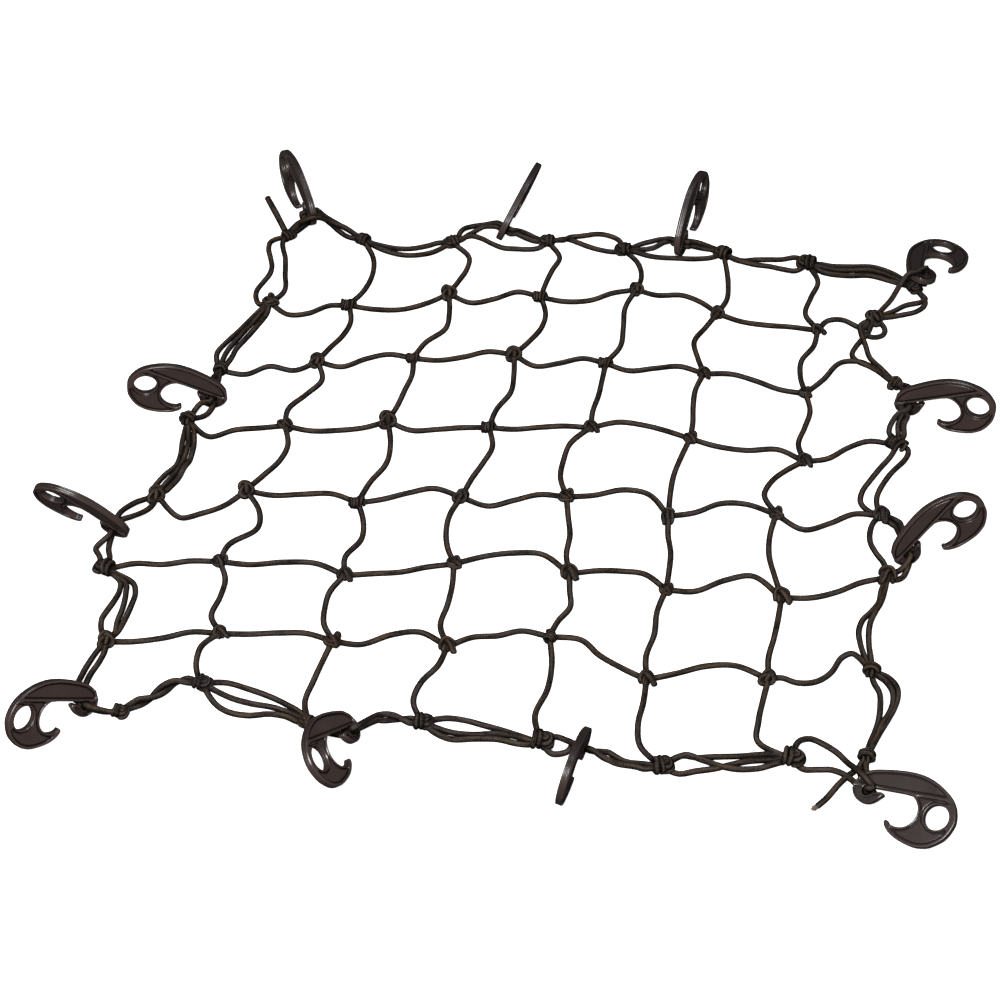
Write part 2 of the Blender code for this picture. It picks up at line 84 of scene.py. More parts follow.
# Column cords run back to front and sway towards the right.
COLUMN_SWAY = {
    1: ((14, 17, 12), (10, 10, 4), (13, 5, -5), (13, 14, 7), (19, 23, 3), (5, 0, -8), (-12, -13, -9)),
    2: ((18, 17, 9), (10, 15, 3), (5, 4, 3), (10, 13, 4), (8, 9, -3), (-11, -13, -11), (-4, -7, -9)),
    3: ((14, 8, 3), (12, 14, 8), (6, 9, 1), (10, 7, 2), (-9, -11, -8), (0, -3, -8), (-3, -13, -14)),
    4: ((9, 11, 8), (-4, 2, 7), (0, 0, -2), (-14, -15, -12), (1, 2, -2), (5, 10, 3), (4, 2, -7)),
    5: ((5, 8, 8), (-9, -17, -10), (-5, -4, -1), (-4, -6, -4), (0, 3, 2), (-4, -2, -5), (-6, -14, -15)),
    6: ((8, -2, -10), (-1, -10, -8), (5, 0, -6), (-13, -20, -19), (-7, -9, -5), (0, -1, -3),
        (-10, -19, -24)),
}

# Hooks: name, middle of the eye, then turn about Z, rise of the head and roll, in degrees.
HOOKS = (
    ("back_1", (-314, 415, 35.8), (120, 25, 92)),
    ("back_2", (-51, 425, 37.7), (65, 31, 113)),
    ("back_3", (129, 422, 44.1), (77, 38, 85)),
    ("back_4", (387, 394, 7.1), (85, -10, 5)),
    ("right_1", (422, 110, 35.3), (-9, 23, 85)),
    ("right_2", (408, -67, 59.0), (21, 53, 80)),
    ("front_4", (391, -418, 23.8), (-21, 15, 32)),
    ("front_3", (78, -425, 41.0), (-95, 35, 80)),
    ("front_2", (-135, -430, 38.9), (-113, 31, 134)),
    ("front_1", (-396, -415, 40.2), (-133, 34, 105)),
    ("left_2", (-432, -148, 56.0), (-165, 48, 55)),
    ("left_1", (-387, 40, 38.1), (-166, 31, 89)),
)

# Border cords, clockwise from the back left corner: start, points on the way, end, and where
# it isn't one cord on the floor its lay and its lift. A start or an end is a knot's (row,
# column) or the hook whose clip the cord runs through. A point's third number is its own
# height. The lay is one cord, a pair side by side, a loose pair with a gap or a twisted pair.
BORDER = (
    ((0, 0), ((-298, 343), (-292, 352), (-285, 362)), "back_1", "pair", 0),
    ((0, 0), ((-293, 341), (-287, 351), (-281, 361)), "back_1", "one", 2.6),
    ((0, 0), ((-291, 345, 12), (-283, 342, 21), (-275, 341, 26), (-266, 346, 23), (-256, 352, 14),
     (-241, 353, 6)), (0, 1)),
    ("back_1", ((-264, 373), (-247, 361), (-231, 349)), (0, 1)),
    ("back_1", ((-259, 363), (-247, 350), (-236, 342)), (0, 1), "one", 0.6),
    ((0, 1), ((-205, 334), (-187, 330), (-169, 331), (-152, 338), (-140, 345)), (0, 2)),
    ((0, 1), ((-203, 328), (-189, 322), (-174, 319), (-159, 321), (-144, 328)), (0, 2), "one", 0.4),
    ((0, 2), ((-119, 355), (-115, 365), (-107, 373), (-96, 378)), "back_2", "loose", 0),
    ("back_2", ((-60, 367, 8), (-49, 364, 5), (-38, 362, 3)), (0, 3), "pair", 0),
    ((0, 2), ((-109, 360), (-96, 357), (-85, 350), (-72, 344), (-57, 344), (-43, 345), (-34, 349)),
     (0, 3), "one", 0.6),
    ((0, 3), ((-18, 362), (-10, 363), (-4, 369), (3, 371), (12, 374), (24, 378), (36, 377), (48, 370)),
     (0, 4), "one", 2.2),
    ((0, 3), ((-17, 365), (-10, 368), (-3, 367), (6, 363), (17, 358), (29, 354), (43, 352)), (0, 4)),
    ((0, 4), ((66, 361), (79, 366), (91, 374), (102, 378)), "back_3", "loose", 0),
    ("back_3", ((119, 375), (129, 373), (141, 371), (151, 367)), (0, 5), "pair", 0),
    ((0, 4), ((67, 354), (79, 350), (92, 348), (112, 349), (129, 350), (146, 354)), (0, 5), "one", 0.6),
    ((0, 5), ((170, 357), (180, 354), (192, 357), (206, 359), (220, 361), (236, 366)), (0, 6)),
    ((0, 5), ((172, 354), (182, 351), (194, 348), (208, 347), (222, 344), (236, 343)), (0, 6), "one", 0.6),
    ((0, 6), ((259, 358), (275, 356), (294, 358), (314, 360), (332, 354), (345, 345)), (0, 7)),
    ((0, 6), ((263, 352), (279, 349), (296, 351), (314, 353), (332, 347)), (0, 7), "one", 0.6),
    ((0, 6), ((263, 345), (275, 342), (293, 342), (312, 345), (330, 340)), (0, 7)),
    ((0, 7), ((356, 345),), "back_4", "pair", 0),
    ("back_4", ((361, 325, 29), (351, 320, 28), (343, 311, 19), (336, 301, 9), (327, 288)), (1, 7),
     "one", 1.6),
    ((0, 7), ((366, 320), (371, 312), (366, 306), (351, 299), (339, 288)), (1, 7), "one", 0.6),
    ((0, 7), ((367, 318), (371, 308), (369, 299), (361, 290), (349, 284), (337, 279)), (1, 7)),
    ((1, 7), ((306, 259), (307, 245), (312, 227), (317, 208), (328, 193)), (2, 7), "one", 2.0),
    ((1, 7), ((314, 250), (308, 238), (302, 225), (299, 213), (304, 204), (318, 196), (331, 185)), (2, 7)),
    ((2, 7), ((351, 167), (356, 161)), "right_1", "pair", 1.0),
    ("right_1", ((346, 109, 17), (340, 101, 10), (339, 96, 5), (342, 89, 4)), (3, 7)),
    ("right_1", ((353, 108, 17), (350, 101, 10), (351, 93, 4)), (3, 7), "pair", 0.4),
    ((3, 7), ((341, 61), (332, 44), (323, 25), (316, 8), (315, -8), (323, -19)), (4, 7)),
    ((3, 7), ((358, 74), (356, 60), (343, 38), (334, 17), (330, 1), (331, -13)), (4, 7), "one", 0.6),
    ((4, 7), ((328, -34), (325, -49), (326, -63), (332, -77), (339, -89)), (5, 7)),
    ((4, 7), ((342, -28), (351, -36)), "right_2", "pair", 0),
    ("right_2", ((357, -99, 9), (350, -103, 5)), (5, 7)),
    ("right_2", ((360, -101, 7), (357, -107, 4), (350, -111, 3.5)), (5, 7)),
    ((5, 7), ((338, -125), (336, -142), (329, -156), (322, -167), (319, -182), (321, -198), (325, -213)),
     (6, 7)),
    ((5, 7), ((341, -125), (338, -142), (333, -156), (329, -170), (328, -186), (329, -202), (331, -216)),
     (6, 7), "one", 0.8),
    ((6, 7), ((334, -244), (340, -258), (341, -275), (340, -291), (337, -306), (333, -321)), (7, 7)),
    ((6, 7), ((339, -234), (347, -238), (355, -249), (356, -262), (353, -276), (348, -290), (341, -308)),
     (7, 7), "one", 0.8),
    ((6, 7), ((338, -238), (345, -244), (351, -255), (352, -268), (349, -282), (343, -297)), (7, 7),
     "one", 1.6),
    ((7, 7), ((328, -350),), "front_4", "pair", 0),
    ("front_4", ((336, -388, 21), (328, -375, 21), (321, -361, 14), (314, -347, 6), (305, -335, 4),
     (293, -327), (281, -322), (271, -327)), (7, 6), "one", 1.6),
    ("front_4", ((314, -360), (302, -355), (290, -356), (277, -357)), (7, 6)),
    ((7, 6), ((250, -343), (238, -345), (220, -349), (201, -352), (185, -355), (170, -355)), (7, 5)),
    ((7, 6), ((250, -356), (238, -362), (220, -365), (205, -363), (189, -358), (174, -354)), (7, 5),
     "one", 1.0),
    ((7, 6), ((250, -350), (232, -353), (216, -359), (201, -366), (185, -371), (170, -376)), (7, 5),
     "one", 0.2),
    ((7, 5), ((140, -371), (123, -370), (106, -362)), "front_3", "pair", 0),
    ("front_3", ((71, -347), (60, -345)), (7, 4)),
    ("front_3", ((72, -362), (59, -366)), (7, 4), "one", 0.4),
    ((7, 4), ((39, -352), (27, -348), (13, -344), (-4, -340), (-22, -336), (-40, -336)), (7, 3)),
    ((7, 4), ((38, -354), (21, -350), (6, -350), (-12, -353), (-30, -353), (-45, -349)), (7, 3),
     "one", 1.0),
    ((7, 4), ((38, -358), (27, -358), (10, -355), (-10, -357), (-30, -360), (-44, -355)), (7, 3)),
    ((7, 3), ((-68, -345), (-84, -343), (-98, -345)), "front_2", "twist", 0),
    ("front_2", ((-140, -364),), (7, 2), "pair", 0),
    ((7, 2), ((-167, -345), (-180, -337), (-197, -329), (-218, -322), (-240, -317)), (7, 1)),
    ((7, 2), ((-167, -351), (-179, -346), (-193, -342), (-212, -340), (-232, -335)), (7, 1), "one", 0.8),
    ((7, 2), ((-167, -356), (-179, -351), (-194, -350), (-212, -354), (-230, -352), (-244, -343)), (7, 1)),
    ((7, 1), ((-272, -321), (-283, -324), (-291, -333), (-300, -346), (-310, -353)), (7, 0), "twist", 0),
    ((7, 0), ((-335, -364),), "front_1", "pair", 0),
    ("front_1", ((-368, -338), (-368, -320), (-365, -304), (-361, -290)), (6, 0)),
    ("front_1", ((-362, -340), (-361, -322), (-357, -306), (-355, -292)), (6, 0), "one", 0.4),
    ((6, 0), ((-364, -266), (-367, -252), (-365, -242), (-361, -227), (-359, -213), (-362, -200)), (5, 0)),
    ((6, 0), ((-351, -269), (-352, -254), (-351, -238), (-352, -219), (-356, -203)), (5, 0), "one", 0.8),
    ((6, 0), ((-349, -266), (-346, -250), (-344, -229), (-344, -214), (-350, -201)), (5, 0)),
    ((5, 0), ((-384, -179), (-388, -170), (-393, -160)), "left_2"),
    ((5, 0), ((-377, -178), (-378, -170), (-381, -160)), "left_2", "one", 0.4),
    ("left_2", ((-377, -106), (-369, -93), (-360, -86)), (4, 0)),
    ("left_2", ((-366, -112), (-357, -103), (-353, -93)), (4, 0), "one", 0.4),
    ((4, 0), ((-357, -72), (-355, -62), (-350, -50), (-343, -37), (-342, -20), (-344, -2), (-345, 15)),
     (3, 0)),
    ((4, 0), ((-347, -72), (-341, -58), (-337, -42), (-334, -26), (-335, -3), (-339, 16)), (3, 0),
     "pair", 0.4),
    ((3, 0), ((-342, 36, 6), (-339, 40, 10), (-334, 45, 14)), "left_1"),
    ((3, 0), ((-334, 35, 4), (-327, 36, 8), (-323, 40, 12)), "left_1"),
    ("left_1", ((-328, 76), (-329, 94)), (2, 0), "pair", 0),
    ((2, 0), ((-333, 118), (-337, 136), (-331, 154), (-322, 173), (-313, 195), (-305, 213)), (1, 0)),
    ((2, 0), ((-329, 126), (-327, 141), (-322, 156), (-316, 173), (-309, 191), (-302, 211)), (1, 0),
     "one", 0.8),
    ((2, 0), ((-324, 120), (-321, 132), (-319, 145), (-312, 164), (-305, 184), (-299, 205)), (1, 0)),
    ((1, 0), ((-309, 219), (-315, 230), (-316, 242), (-312, 256), (-308, 270), (-308, 283), (-312, 297),
     (-317, 313), (-316, 326)), (0, 0)),
    ((1, 0), ((-293, 231), (-288, 242), (-288, 254), (-291, 267), (-294, 285), (-297, 300), (-302, 315),
     (-304, 326)), (0, 0), "one", 0.4),
    ((1, 7), ((327, 266), (331, 256), (328, 247), (319, 243.5), (311, 247), (308, 257)), (1, 7)),
)

KNOT_ENTRY = 3.2      # height at which a single cord runs into an inner knot
COLUMN_LIFT = 1.2     # how much higher a column cord runs into it than a row cord
BORDER_ENTRY = 4.6    # height at which a border cord runs into its knot
FLOOR_SHARE = 0.51    # least height of a cord's middle, over its diameter

UNEVEN = 0.45         # most that a point of a knot strays
# How each knot is tied: the tie, its turn in degrees and its size, below 0 where it is mirrored.
INNER_TIES = {
    1: (("barrel", 0, 1.05), ("round", 10, 1.08), ("barrel", -3, 1.0), ("round", 12, 0.95),
        ("round", -8, 0.95), ("ear", 14, 0.9)),
    2: (("round", -8, 1.05), ("barrel", 5, 0.9), ("round", -5, 1.1), ("barrel", -6, 0.95),
        ("ear", -6, 0.88), ("stack", 0, 0.95)),
    3: (("round", 60, 0.95), ("round", 0, 1.18), ("barrel", 2, 1.0), ("ear", 10, 0.92),
        ("stack", -16, 0.95), ("ear", 0, 1.0)),
    4: (("round", 8, 1.1), ("barrel", 4, 1.0), ("round", -40, 0.95), ("stack", 0, 1.05),
        ("loops", 0, 1.0), ("stack", 10, 1.0)),
    5: (("stack", -30, 1.0), ("ear", 0, 0.95), ("stack", 6, 1.0), ("ear", 0, 1.1), ("stack", -20, 0.9),
        ("ear", 4, 1.12)),
    6: (("ear", 24, 0.95), ("stack", -14, 1.1), ("ear", 0, 1.05), ("barrel", 60, 0.9), ("ear", 6, 1.0),
        ("round", -30, 1.0)),
}
BORDER_TIES = {
    (0, 0): ("collar", 50, 0.95), (0, 1): ("collar", -32, -1.0), (0, 2): ("collar", 24, -1.05),
    (0, 3): ("collar", -5, -1.05), (0, 4): ("collar", -4, -1.15), (0, 5): ("collar", -30, -1.15),
    (0, 6): ("collar", -14, -1.3), (0, 7): ("collar", -50, 1.0), (1, 7): ("round", 40, 1.2),
    (2, 7): ("round", -30, 0.95), (3, 7): ("barrel", -40, 1.25), (4, 7): ("ear", -22, 1.1),
    (5, 7): ("ear", 12, -1.2), (6, 7): ("band", 82, 1.1), (7, 7): ("band", 84, 1.05),
    (7, 6): ("collar", -4, 1.35), (7, 5): ("collar", 18, 1.25), (7, 4): ("collar", 0, 1.35),
    (7, 3): ("collar", 6, 1.15), (7, 2): ("collar", 160, 1.0), (7, 1): ("collar", -10, 1.1),
    (7, 0): ("collar", -6, 0.95), (6, 0): ("round", 0, 1.1), (5, 0): ("collar", 165, 1.25),
    (4, 0): ("round", -10, 1.15), (3, 0): ("band", 84, 1.1), (2, 0): ("band", 84, 1.0),
    (1, 0): ("stack", 30, 1.1),
}


def hoop(along, middle, reach, turns=1.0, pitch=0.0, lean=0.0, steps=10):
    """Points of a cord that winds round a bundle along the X axis: where it starts, the
    middle and half the size of a turn in Y and Z, and how far it moves and leans in X."""
    points = []
    for k in range(round(steps * turns) + 1):
        angle = math.tau * k / steps - math.pi / 2
        points.append((along + pitch * k / steps + lean * math.sin(angle),
                       middle[0] + reach[0] * math.cos(angle),
                       middle[1] + reach[1] * math.sin(angle)))
    return points


# Ties: the diameter of the cord in a knot, and its runs that show, (along, across, height).
TIES = {
    "ear": (4.6, (
        ((5.2, 1.2, 3.6), (4.6, 3.8, 5.6), (1.8, 5.6, 7.2), (-2.2, 5.2, 7.8), (-5, 2.4, 6.8),
         (-5.8, -1.8, 5), (-4.6, -5.4, 3.4)),
        ((-1.8, 2, 6), (-0.4, 1.6, 8.4), (1.4, -0.6, 8.8), (3.4, -3.4, 7.4), (5.2, -6.4, 5.4),
         (6.8, -9, 3.8)),
        ((1.4, 2.8, 6.8), (3, 0.8, 7.4), (4.8, -2.2, 6.4), (6.8, -5.4, 4.6), (8, -8, 3.4)),
        ((-2.2, 0.6, 4.4), (-2.4, -2.6, 5.4), (-2.6, -5.6, 4.2), (-2.6, -7.2, 2.8)),
        ((-3.2, 2.4, 5), (-1.6, -0.6, 5.4), (0.6, -4, 4.4), (1.2, -6.8, 3)),
    )),
    "round": (4.6, (
        ((3.4, 4.4, 3.4), (1.6, 6, 6), (-2.4, 5.8, 7.4), (-5, 3.2, 7.2), (-5.2, -0.2, 6),
         (-2.6, -1.8, 5.6)),
        ((0.6, 1.8, 5.6), (-1.6, 0.6, 7.4), (-4, -2, 6), (-5.2, -5, 4.4), (-3.4, -7.8, 3.2),
         (-0.2, -7.6, 2.8), (1.6, -5.6, 2.6)),
        ((-2.4, 3, 5.6), (0, 2.4, 8.6), (3.2, 1.8, 8.4), (5.8, -0.2, 6.6), (5.8, -3, 4.6), (3.6, -5, 3.4),
         (1.2, -4.8, 2.8)),
        ((4.4, 6, 3.4), (2.6, 3.6, 6.8), (0.8, 0.6, 8), (0.8, -3, 6.8), (0.6, -6.4, 4.2)),
        ((-3.6, -2.4, 3.6), (-2.5, -5, 3.4), (-0.6, -6.4, 3)),
        ((3.4, 3.4, 3.6), (3.6, 0.4, 3.8), (3, -3.4, 3)),
    )),
    "barrel": (3.7, (
        hoop(-7.4, (-3.2, 6.2), (4.2, 4.2), 3, 2.7, 0.5),
        ((4.2, 6.6, 3), (4, 4, 6.8), (3.2, 0.4, 8.8), (2.6, -3.2, 7.6), (2.4, -6.4, 4.8), (3, -8.2, 2.6)),
        ((-1, 1.6, 7.4), (2.6, 3.4, 6.6), (5.4, 2.2, 5.8), (6.4, -0.8, 4.4), (5, -3.6, 3)),
        ((-0.2, 3.4, 6.4), (0.4, 0.8, 9.4), (0.2, -3.4, 9.4), (0, -6.8, 6.2), (0.6, -7, 3)),
    )),
    "stack": (4.5, (
        ((-5.8, 0.5, 3), (-5.2, -3.4, 4.6), (-2.4, -5.8, 5), (1.3, -6.4, 4.8), (4.2, -5.2, 4.2),
         (5.6, -2.4, 3.4), (5, 0.8, 2.6)),
        ((-4.8, 3.2, 4), (-3, 1.6, 7.2), (0.2, -1, 8.4), (3.4, -2.8, 7.4), (5.6, -4.4, 5), (5, -6.6, 3)),
        ((0.8, 0.8, 5), (1.2, 3.8, 7.2), (2.6, 5.4, 8), (4, 4.6, 7), (4.2, 2.4, 5.6), (4, 0.2, 4)),
        ((-4.2, 5.2, 3.2), (-4.8, 2, 5.6), (-4.6, -1.6, 6), (-2.8, -3.6, 6.6), (0.6, -4.4, 6.8),
         (2.8, -5.8, 5)),
    )),
    "loops": (4.5, (
        ((3.6, 5.2, 3), (0, 6.2, 5.4), (-3.8, 5, 5.4), (-5.2, 1, 5.4), (-4.8, -4.2, 4.4),
         (-3.4, -8.8, 3.2), (-2.2, -12, 2.6)),
        ((-4.2, 4.4, 6.8), (-0.4, 5, 8.2), (3.6, 4.4, 6.8), (4.8, 3, 4.2)),
        ((-2, 4.6, 5), (-1.2, 1.4, 7.4), (-0.6, -3, 7), (0.2, -7, 4.8), (1, -8.8, 2.6)),
        ((1.4, 4.8, 5), (2.6, 1.4, 6.6), (3.2, -3.4, 6.4), (3.4, -7, 4.6), (2.6, -9.2, 3),
         (1.4, -8.4, 2.4)),
        ((-3.4, 2, 3.6), (-2.8, -3, 3.6), (-1.8, -8, 3)),
    )),
    "collar": (4.1, (
        hoop(-0.8, (0, 6), (5.9, 4.3), 1.1, 0.4, 0.6),
        hoop(-4, (0, 5.8), (5.4, 4.1), 1.1, -0.4, 0.7),
        ((0, 5, 4), (3.8, 5.8, 4.6), (6.6, 4.8, 4.8), (7.6, 0.2, 4.6), (6.8, -4.6, 4.4), (3.6, -5.6, 3.8),
         (0, -5, 3.6)),
        ((0, 3.8, 7.2), (3.2, 4.2, 7.8), (5.4, 3, 7.6), (6.2, -0.2, 7.2), (5.2, -3.4, 7), (2.6, -4.2, 7),
         (0, -3.8, 6.8)),
        ((0, 1, 9), (3, 1.2, 9.6), (4.4, -0.2, 9.2), (3, -1.6, 9), (0, -1.4, 8.8)),
        ((0, 0.2, 4.6), (3.6, 0.2, 4.8), (5.6, 0.2, 4.4)),
    )),
    "band": (3.8, (
        hoop(1.6, (0, 5.8), (5.8, 4), 1.1, 0.6, 0.9),
        hoop(-2, (0, 5.9), (6, 4.1), 1.1, -0.5, 0.9),
        ((4.6, 2.4, 4.4), (0, 2.6, 6.2), (-5, 2.6, 6), (-9, 2.4, 4.4)),
        ((4.6, -1.2, 5.2), (0, -1, 7.2), (-5, -1.2, 6.8), (-9, -1.6, 4.8)),
    )),
}

# Free ends: name, points from the knot that the cord leaves, its thickness over the other
# cords', and the end's finish.
TAILS = (
    ("tail_back", ((-304.5, 343.5), (-311, 356), (-318, 369.5), (-326, 384.5), (-334, 399)), 1.2, "sealed"),
    ("tail_front", ((322, -353), (315, -361), (308, -371), (303, -380), (297.5, -389.5), (289.5, -400)),
     1.0, "frayed"),
)

TAIL_STEP = 2.2             # distance between the points that say how a free end runs
YARNS = 30                  # loose yarns at the frayed end
YARN_ROOT = (1.8, 1.6)      # how wide and how high they stand at the cut
YARN_FAN = (2.9, 2.4)       # and at their tips
YARN_DROP = -2.0            # lowest tip, from the cord's middle
YARN_REACH = (0.8, 4.2)     # how far they come out, at least and at most
YARN_WIDTH = (0.6, 1.2)
BEAD = 1.16                 # thickness of the sealed end over its cord's
BEAD_RUN = (-2.4, -0.6, 1.6)    # where it starts, swells and ends, from the cut

# The hook in its own plane, X along the shank towards the eye and Y up its back. A circle is
# its middle and its radius. First its outline, from the clip over the back to the throat.
HOOK_BACK = (
    (-76, 25.3), (-71, 28.6), (-65, 31.3), (-54, 33.3), (-43, 34.5), (-32, 35.0), (-20.5, 34.1),
    (-12.5, 32), (-4.2, 28.5), (4.5, 22.8), (11, 16.7), (15.5, 8.6), (17.3, -1.6), (15.2, -9.6),
    (10.8, -17.3), (5.1, -22.3), (-1.5, -26.3), (-7.2, -27.9), (-14.7, -28.4), (-22.5, -27),
    (-30.5, -24.6), (-37.2, -21.5), (-42.8, -16.7), (-45.2, -12.7), (-44.7, -10.2), (-43.4, -9.5),
    (-41.9, -10.4),
)
CLIP_TIP = ((-56.5, 12.6), (-54.4, 12.9), (-52.4, 12.4), (-51.2, 10.5))
THROAT = ((-33, 1), 15.2)
EYE = ((0, 0), 11.05)
SHANK_EDGE = ((-34, 15.5), (-44, 15.5), (-54, 15.5), (-60, 15.5))
CLIP_SEAT = ((-67, 12), 4.8)
CLIP_BACK = ((-67, 15), 14)
# Outlines of the sunk places in its faces: the shank's panel, the web round the eye and the
# clip's hollow.
PANEL_POCKET = (
    (-77.4, 19.4), (-74.4, 23.2), (-70, 26.2), (-64.2, 28.8), (-53.7, 30.7), (-43, 31.9), (-32, 32.4),
    (-21, 31.5), (-13.5, 29.5), (-5.5, 26.2), (1.6, 21.9), (5.4, 18.2), (2.0, 17.8), (-30, 17.8),
    (-60, 17.8), (-74.5, 17.8),
)
WEB_POCKET = (
    (9.4, 13.0), (4.5, 14.9), (-4, 15.1), (-14, 15.1), (-21.4, 15.1), (-19.7, 12.2), (-17.6, 9.3),
    (-16.4, 6.2), (-15.6, 1), (-16.6, -5), (-19.7, -10.2), (-24.3, -14.1), (-29.8, -16.1), (-35.2, -16.4),
    (-38.4, -15.4), (-36.6, -18.5), (-29.8, -22.1), (-22, -24.5), (-14.7, -25.9), (-7.8, -25.4),
    (-2.6, -24), (3.7, -20.2), (8.9, -15.7), (11.8, -11), (10.0, -8.8), (6.7, -11.4), (0, -13.2),
    (-6.6, -11.4), (-11.4, -6.6), (-13.2, 0), (-11.4, 6.6), (-6.6, 11.4), (0, 13.2), (5.4, 12.1),
)
CLIP_POCKET = (
    (-79.2, 15.0), (-79.4, 12.2), (-77.9, 8.7), (-74.8, 5.1), (-70.3, 2.8), (-65.2, 2.5), (-60.7, 4.1),
    (-57.4, 6.6), (-55.4, 9.2), (-56.4, 10.8), (-60.2, 9.4), (-62.3, 8.1), (-64.9, 6.4), (-67.8, 6.1),
    (-70.4, 7.1), (-72.3, 9.2), (-73.0, 11.6), (-72.8, 15.0),
)

# The cord in a clip. Gathered cord fills the seat: middle, half its length and its diameter.
CLIP_BUNCHES = (((-67, 12), 4.2, 9.3), ((-61.6, 11.6), 3.6, 6.6))
SEAT_SHARE = 2.15         # from the middle of the seat to the middle of each cord in it
SEAT_TURN = 0.5           # direction from the one middle to the other, in radians
CLIP_LEAD = (4.5, 8.5)    # how far past the hook's middle plane a cord still runs straight
LEAD_SPREAD = 1.1         # how much wider the cords stand at the far end of that
CLIMB = 32                # how far from a clip a cord leaves the floor
CLIMB_LEAN = 1.09         # how far it comes forward for each millimetre of its rise


# ---- settings
def number(name, text, default, least=0.0, **more):
    return FloatProperty(name=name, description=text, default=default, min=least, **more)


def size(name, text, default, least=0.0):
    return number(name, text, default, least, unit="LENGTH")


def colour(name, text, default):
    return FloatVectorProperty(name=name, description=text, default=default, size=3,
                               min=0, max=1, subtype="COLOR")


class CordSettings(bpy.types.PropertyGroup):
    """The elastic cord and its braided sheath."""
    diameter: size("Diameter", "Thickness of the elastic cord", 0.0057)
    step: size("Step", "Distance between the rings of a cord", 0.0022, 0.0005)
    bands: IntProperty(name="Bands", description="Yarns round the sheath, in each direction",
                       default=6, min=3)
    lay: size("Lay", "Length of one diamond of the sheath", 0.0026, 0.0005)
    # The dark yarn colour is also the colour that the painted shade and the sheath's painted dark sides go
    # to.
    dark: colour("Dark yarn", "Colour between the yarns", (0.0025, 0.0018, 0.0015))
    light: colour("Light yarn", "Colour on the yarns", (0.050, 0.037, 0.032))
    warm: colour("Warm yarn", "Colour of the brown stretches", (0.056, 0.037, 0.024))
    core: colour("Core", "Colour of the yarns at a frayed end", (0.24, 0.15, 0.11))
    rough: number("Roughness", "Roughness of the sheath", 0.75, max=1)


class HookSettings(bpy.types.PropertyGroup):
    """The moulded hooks."""
    thickness: size("Thickness", "Thickness over the rims", 0.0066)
    panel: size("Panels", "Thickness over the sunk panels", 0.0046)
    web: size("Web", "Thickness at the bottom of the grooves", 0.0022)
    groove: size("Groove", "Width of the groove round a panel", 0.0010)
    ridge: size("Ridges", "Distance between the fine ridges along the edges", 0.0022, 0.0002)
    rounding: size("Rounding", "Radius on the rims' edges", 0.0011)
    body: colour("Plastic", "Colour of the plastic", (0.044, 0.030, 0.027))
    rough: number("Roughness", "Roughness of the plastic", 0.30, max=1)


class StageSettings(bpy.types.PropertyGroup):
    """The floor, the lights and the camera."""
    floor: colour("Floor", "Colour of the floor", (0.8, 0.8, 0.8))
    glow: number("Glow", "Light that the floor gives by itself", 0.85)
    sky: number("Sky", "Strength of the light all round", 0.16)
    key: number("Key light", "Power of the large lamp, in watts", 125)
    lens: number("Lens", "Focal length of the camera, in millimetres", 104.4, 1)


# ---- shader maths
class Wire:
    """A socket in shader maths: an expression on wires adds the Math nodes that it needs."""

    def __init__(self, graph, socket):
        self.graph, self.socket = graph, socket

    def __add__(self, other):
        return self.graph.math("ADD", self, other)

    def __sub__(self, other):
        return self.graph.math("SUBTRACT", self, other)

    def __mul__(self, other):
        return self.graph.math("MULTIPLY", self, other)

    __radd__ = __add__


class Graph:
    """The nodes of one new material."""

    def __init__(self, name):
        self.material = bpy.data.materials.new(name)
        self.material.use_nodes = True
        self.nodes = self.material.node_tree.nodes
        self.links = self.material.node_tree.links
        self.shader = self.nodes["Principled BSDF"]

    def node(self, kind, settings, inputs, output=0):
        """Adds a node, sets it up, feeds its sockets, and returns one output as a wire."""
        new = self.nodes.new("ShaderNode" + kind)
        for key, value in settings.items():
            setattr(new, key, value)
        for key, value in inputs.items():
            self.feed(new.inputs[key], value)
        return Wire(self, new.outputs[output])

    def feed(self, socket, value):
        if isinstance(value, Wire):
            self.links.new(value.socket, socket)
        elif hasattr(value, "__len__") and len(value) == 3 and socket.type == "RGBA":
            socket.default_value = (*value, 1)
        else:
            socket.default_value = value

    def math(self, operation, a, b=0.0):
        return self.node("Math", {"operation": operation}, {0: a, 1: b})

    def mix(self, factor, a, b):
        return self.node("Mix", {"data_type": "RGBA"}, {0: factor, 6: a, 7: b}, 2)

    def noise(self, vector, scale, detail=2.0):
        return self.node("TexNoise", {}, {"Vector": vector, "Scale": scale, "Detail": detail})

    def dot(self, a, b):
        """How far one direction follows another."""
        return self.node("VectorMath", {"operation": "DOT_PRODUCT"}, {0: a, 1: b}, 1)

    def painted_occlusion(self, reach):
        """1 where the surface lies open, less in its hollows and where it meets its neighbours: ambient
        occlusion that the materials paint into their colour as shade.
        """
        return self.node("AmbientOcclusion", {"samples": 6}, {"Distance": reach}, 1)

    def ramp(self, value, low, high):
        """0 up to the low value, 1 from the high one, and even in between."""
        return self.node("MapRange", {}, {0: value, 1: low, 2: high})

    def place(self):
        """The object's own coordinates, which are the net's, in metres."""
        return self.node("TexCoord", {}, {}, 3)

    def facing(self, direction, low, high):
        """1 where the surface faces the direction, 0 where it looks away from it."""
        return self.ramp(self.dot(self.node("TexCoord", {}, {}, 1), direction), low, high)

    def finish(self, bump=None, strength=1.0, distance=0.0001, **sockets):
        """Feeds the shader's sockets by name, and its normal from a height."""
        for key, value in sockets.items():
            self.feed(self.shader.inputs[key.replace("_", " ")], value)
        if bump is not None:
            normal = self.node("Bump", {}, {"Strength": strength, "Distance": distance, "Height": bump})
            self.feed(self.shader.inputs["Normal"], normal)
        return self.material


SHEATH_PAINTED_LIGHT_SIDE = (0, -0.5, 0.87)    # the side of the cords that is painted lighter: painted light from the front and above
SHEATH_RELIEF = 0.0004          # height of the yarns


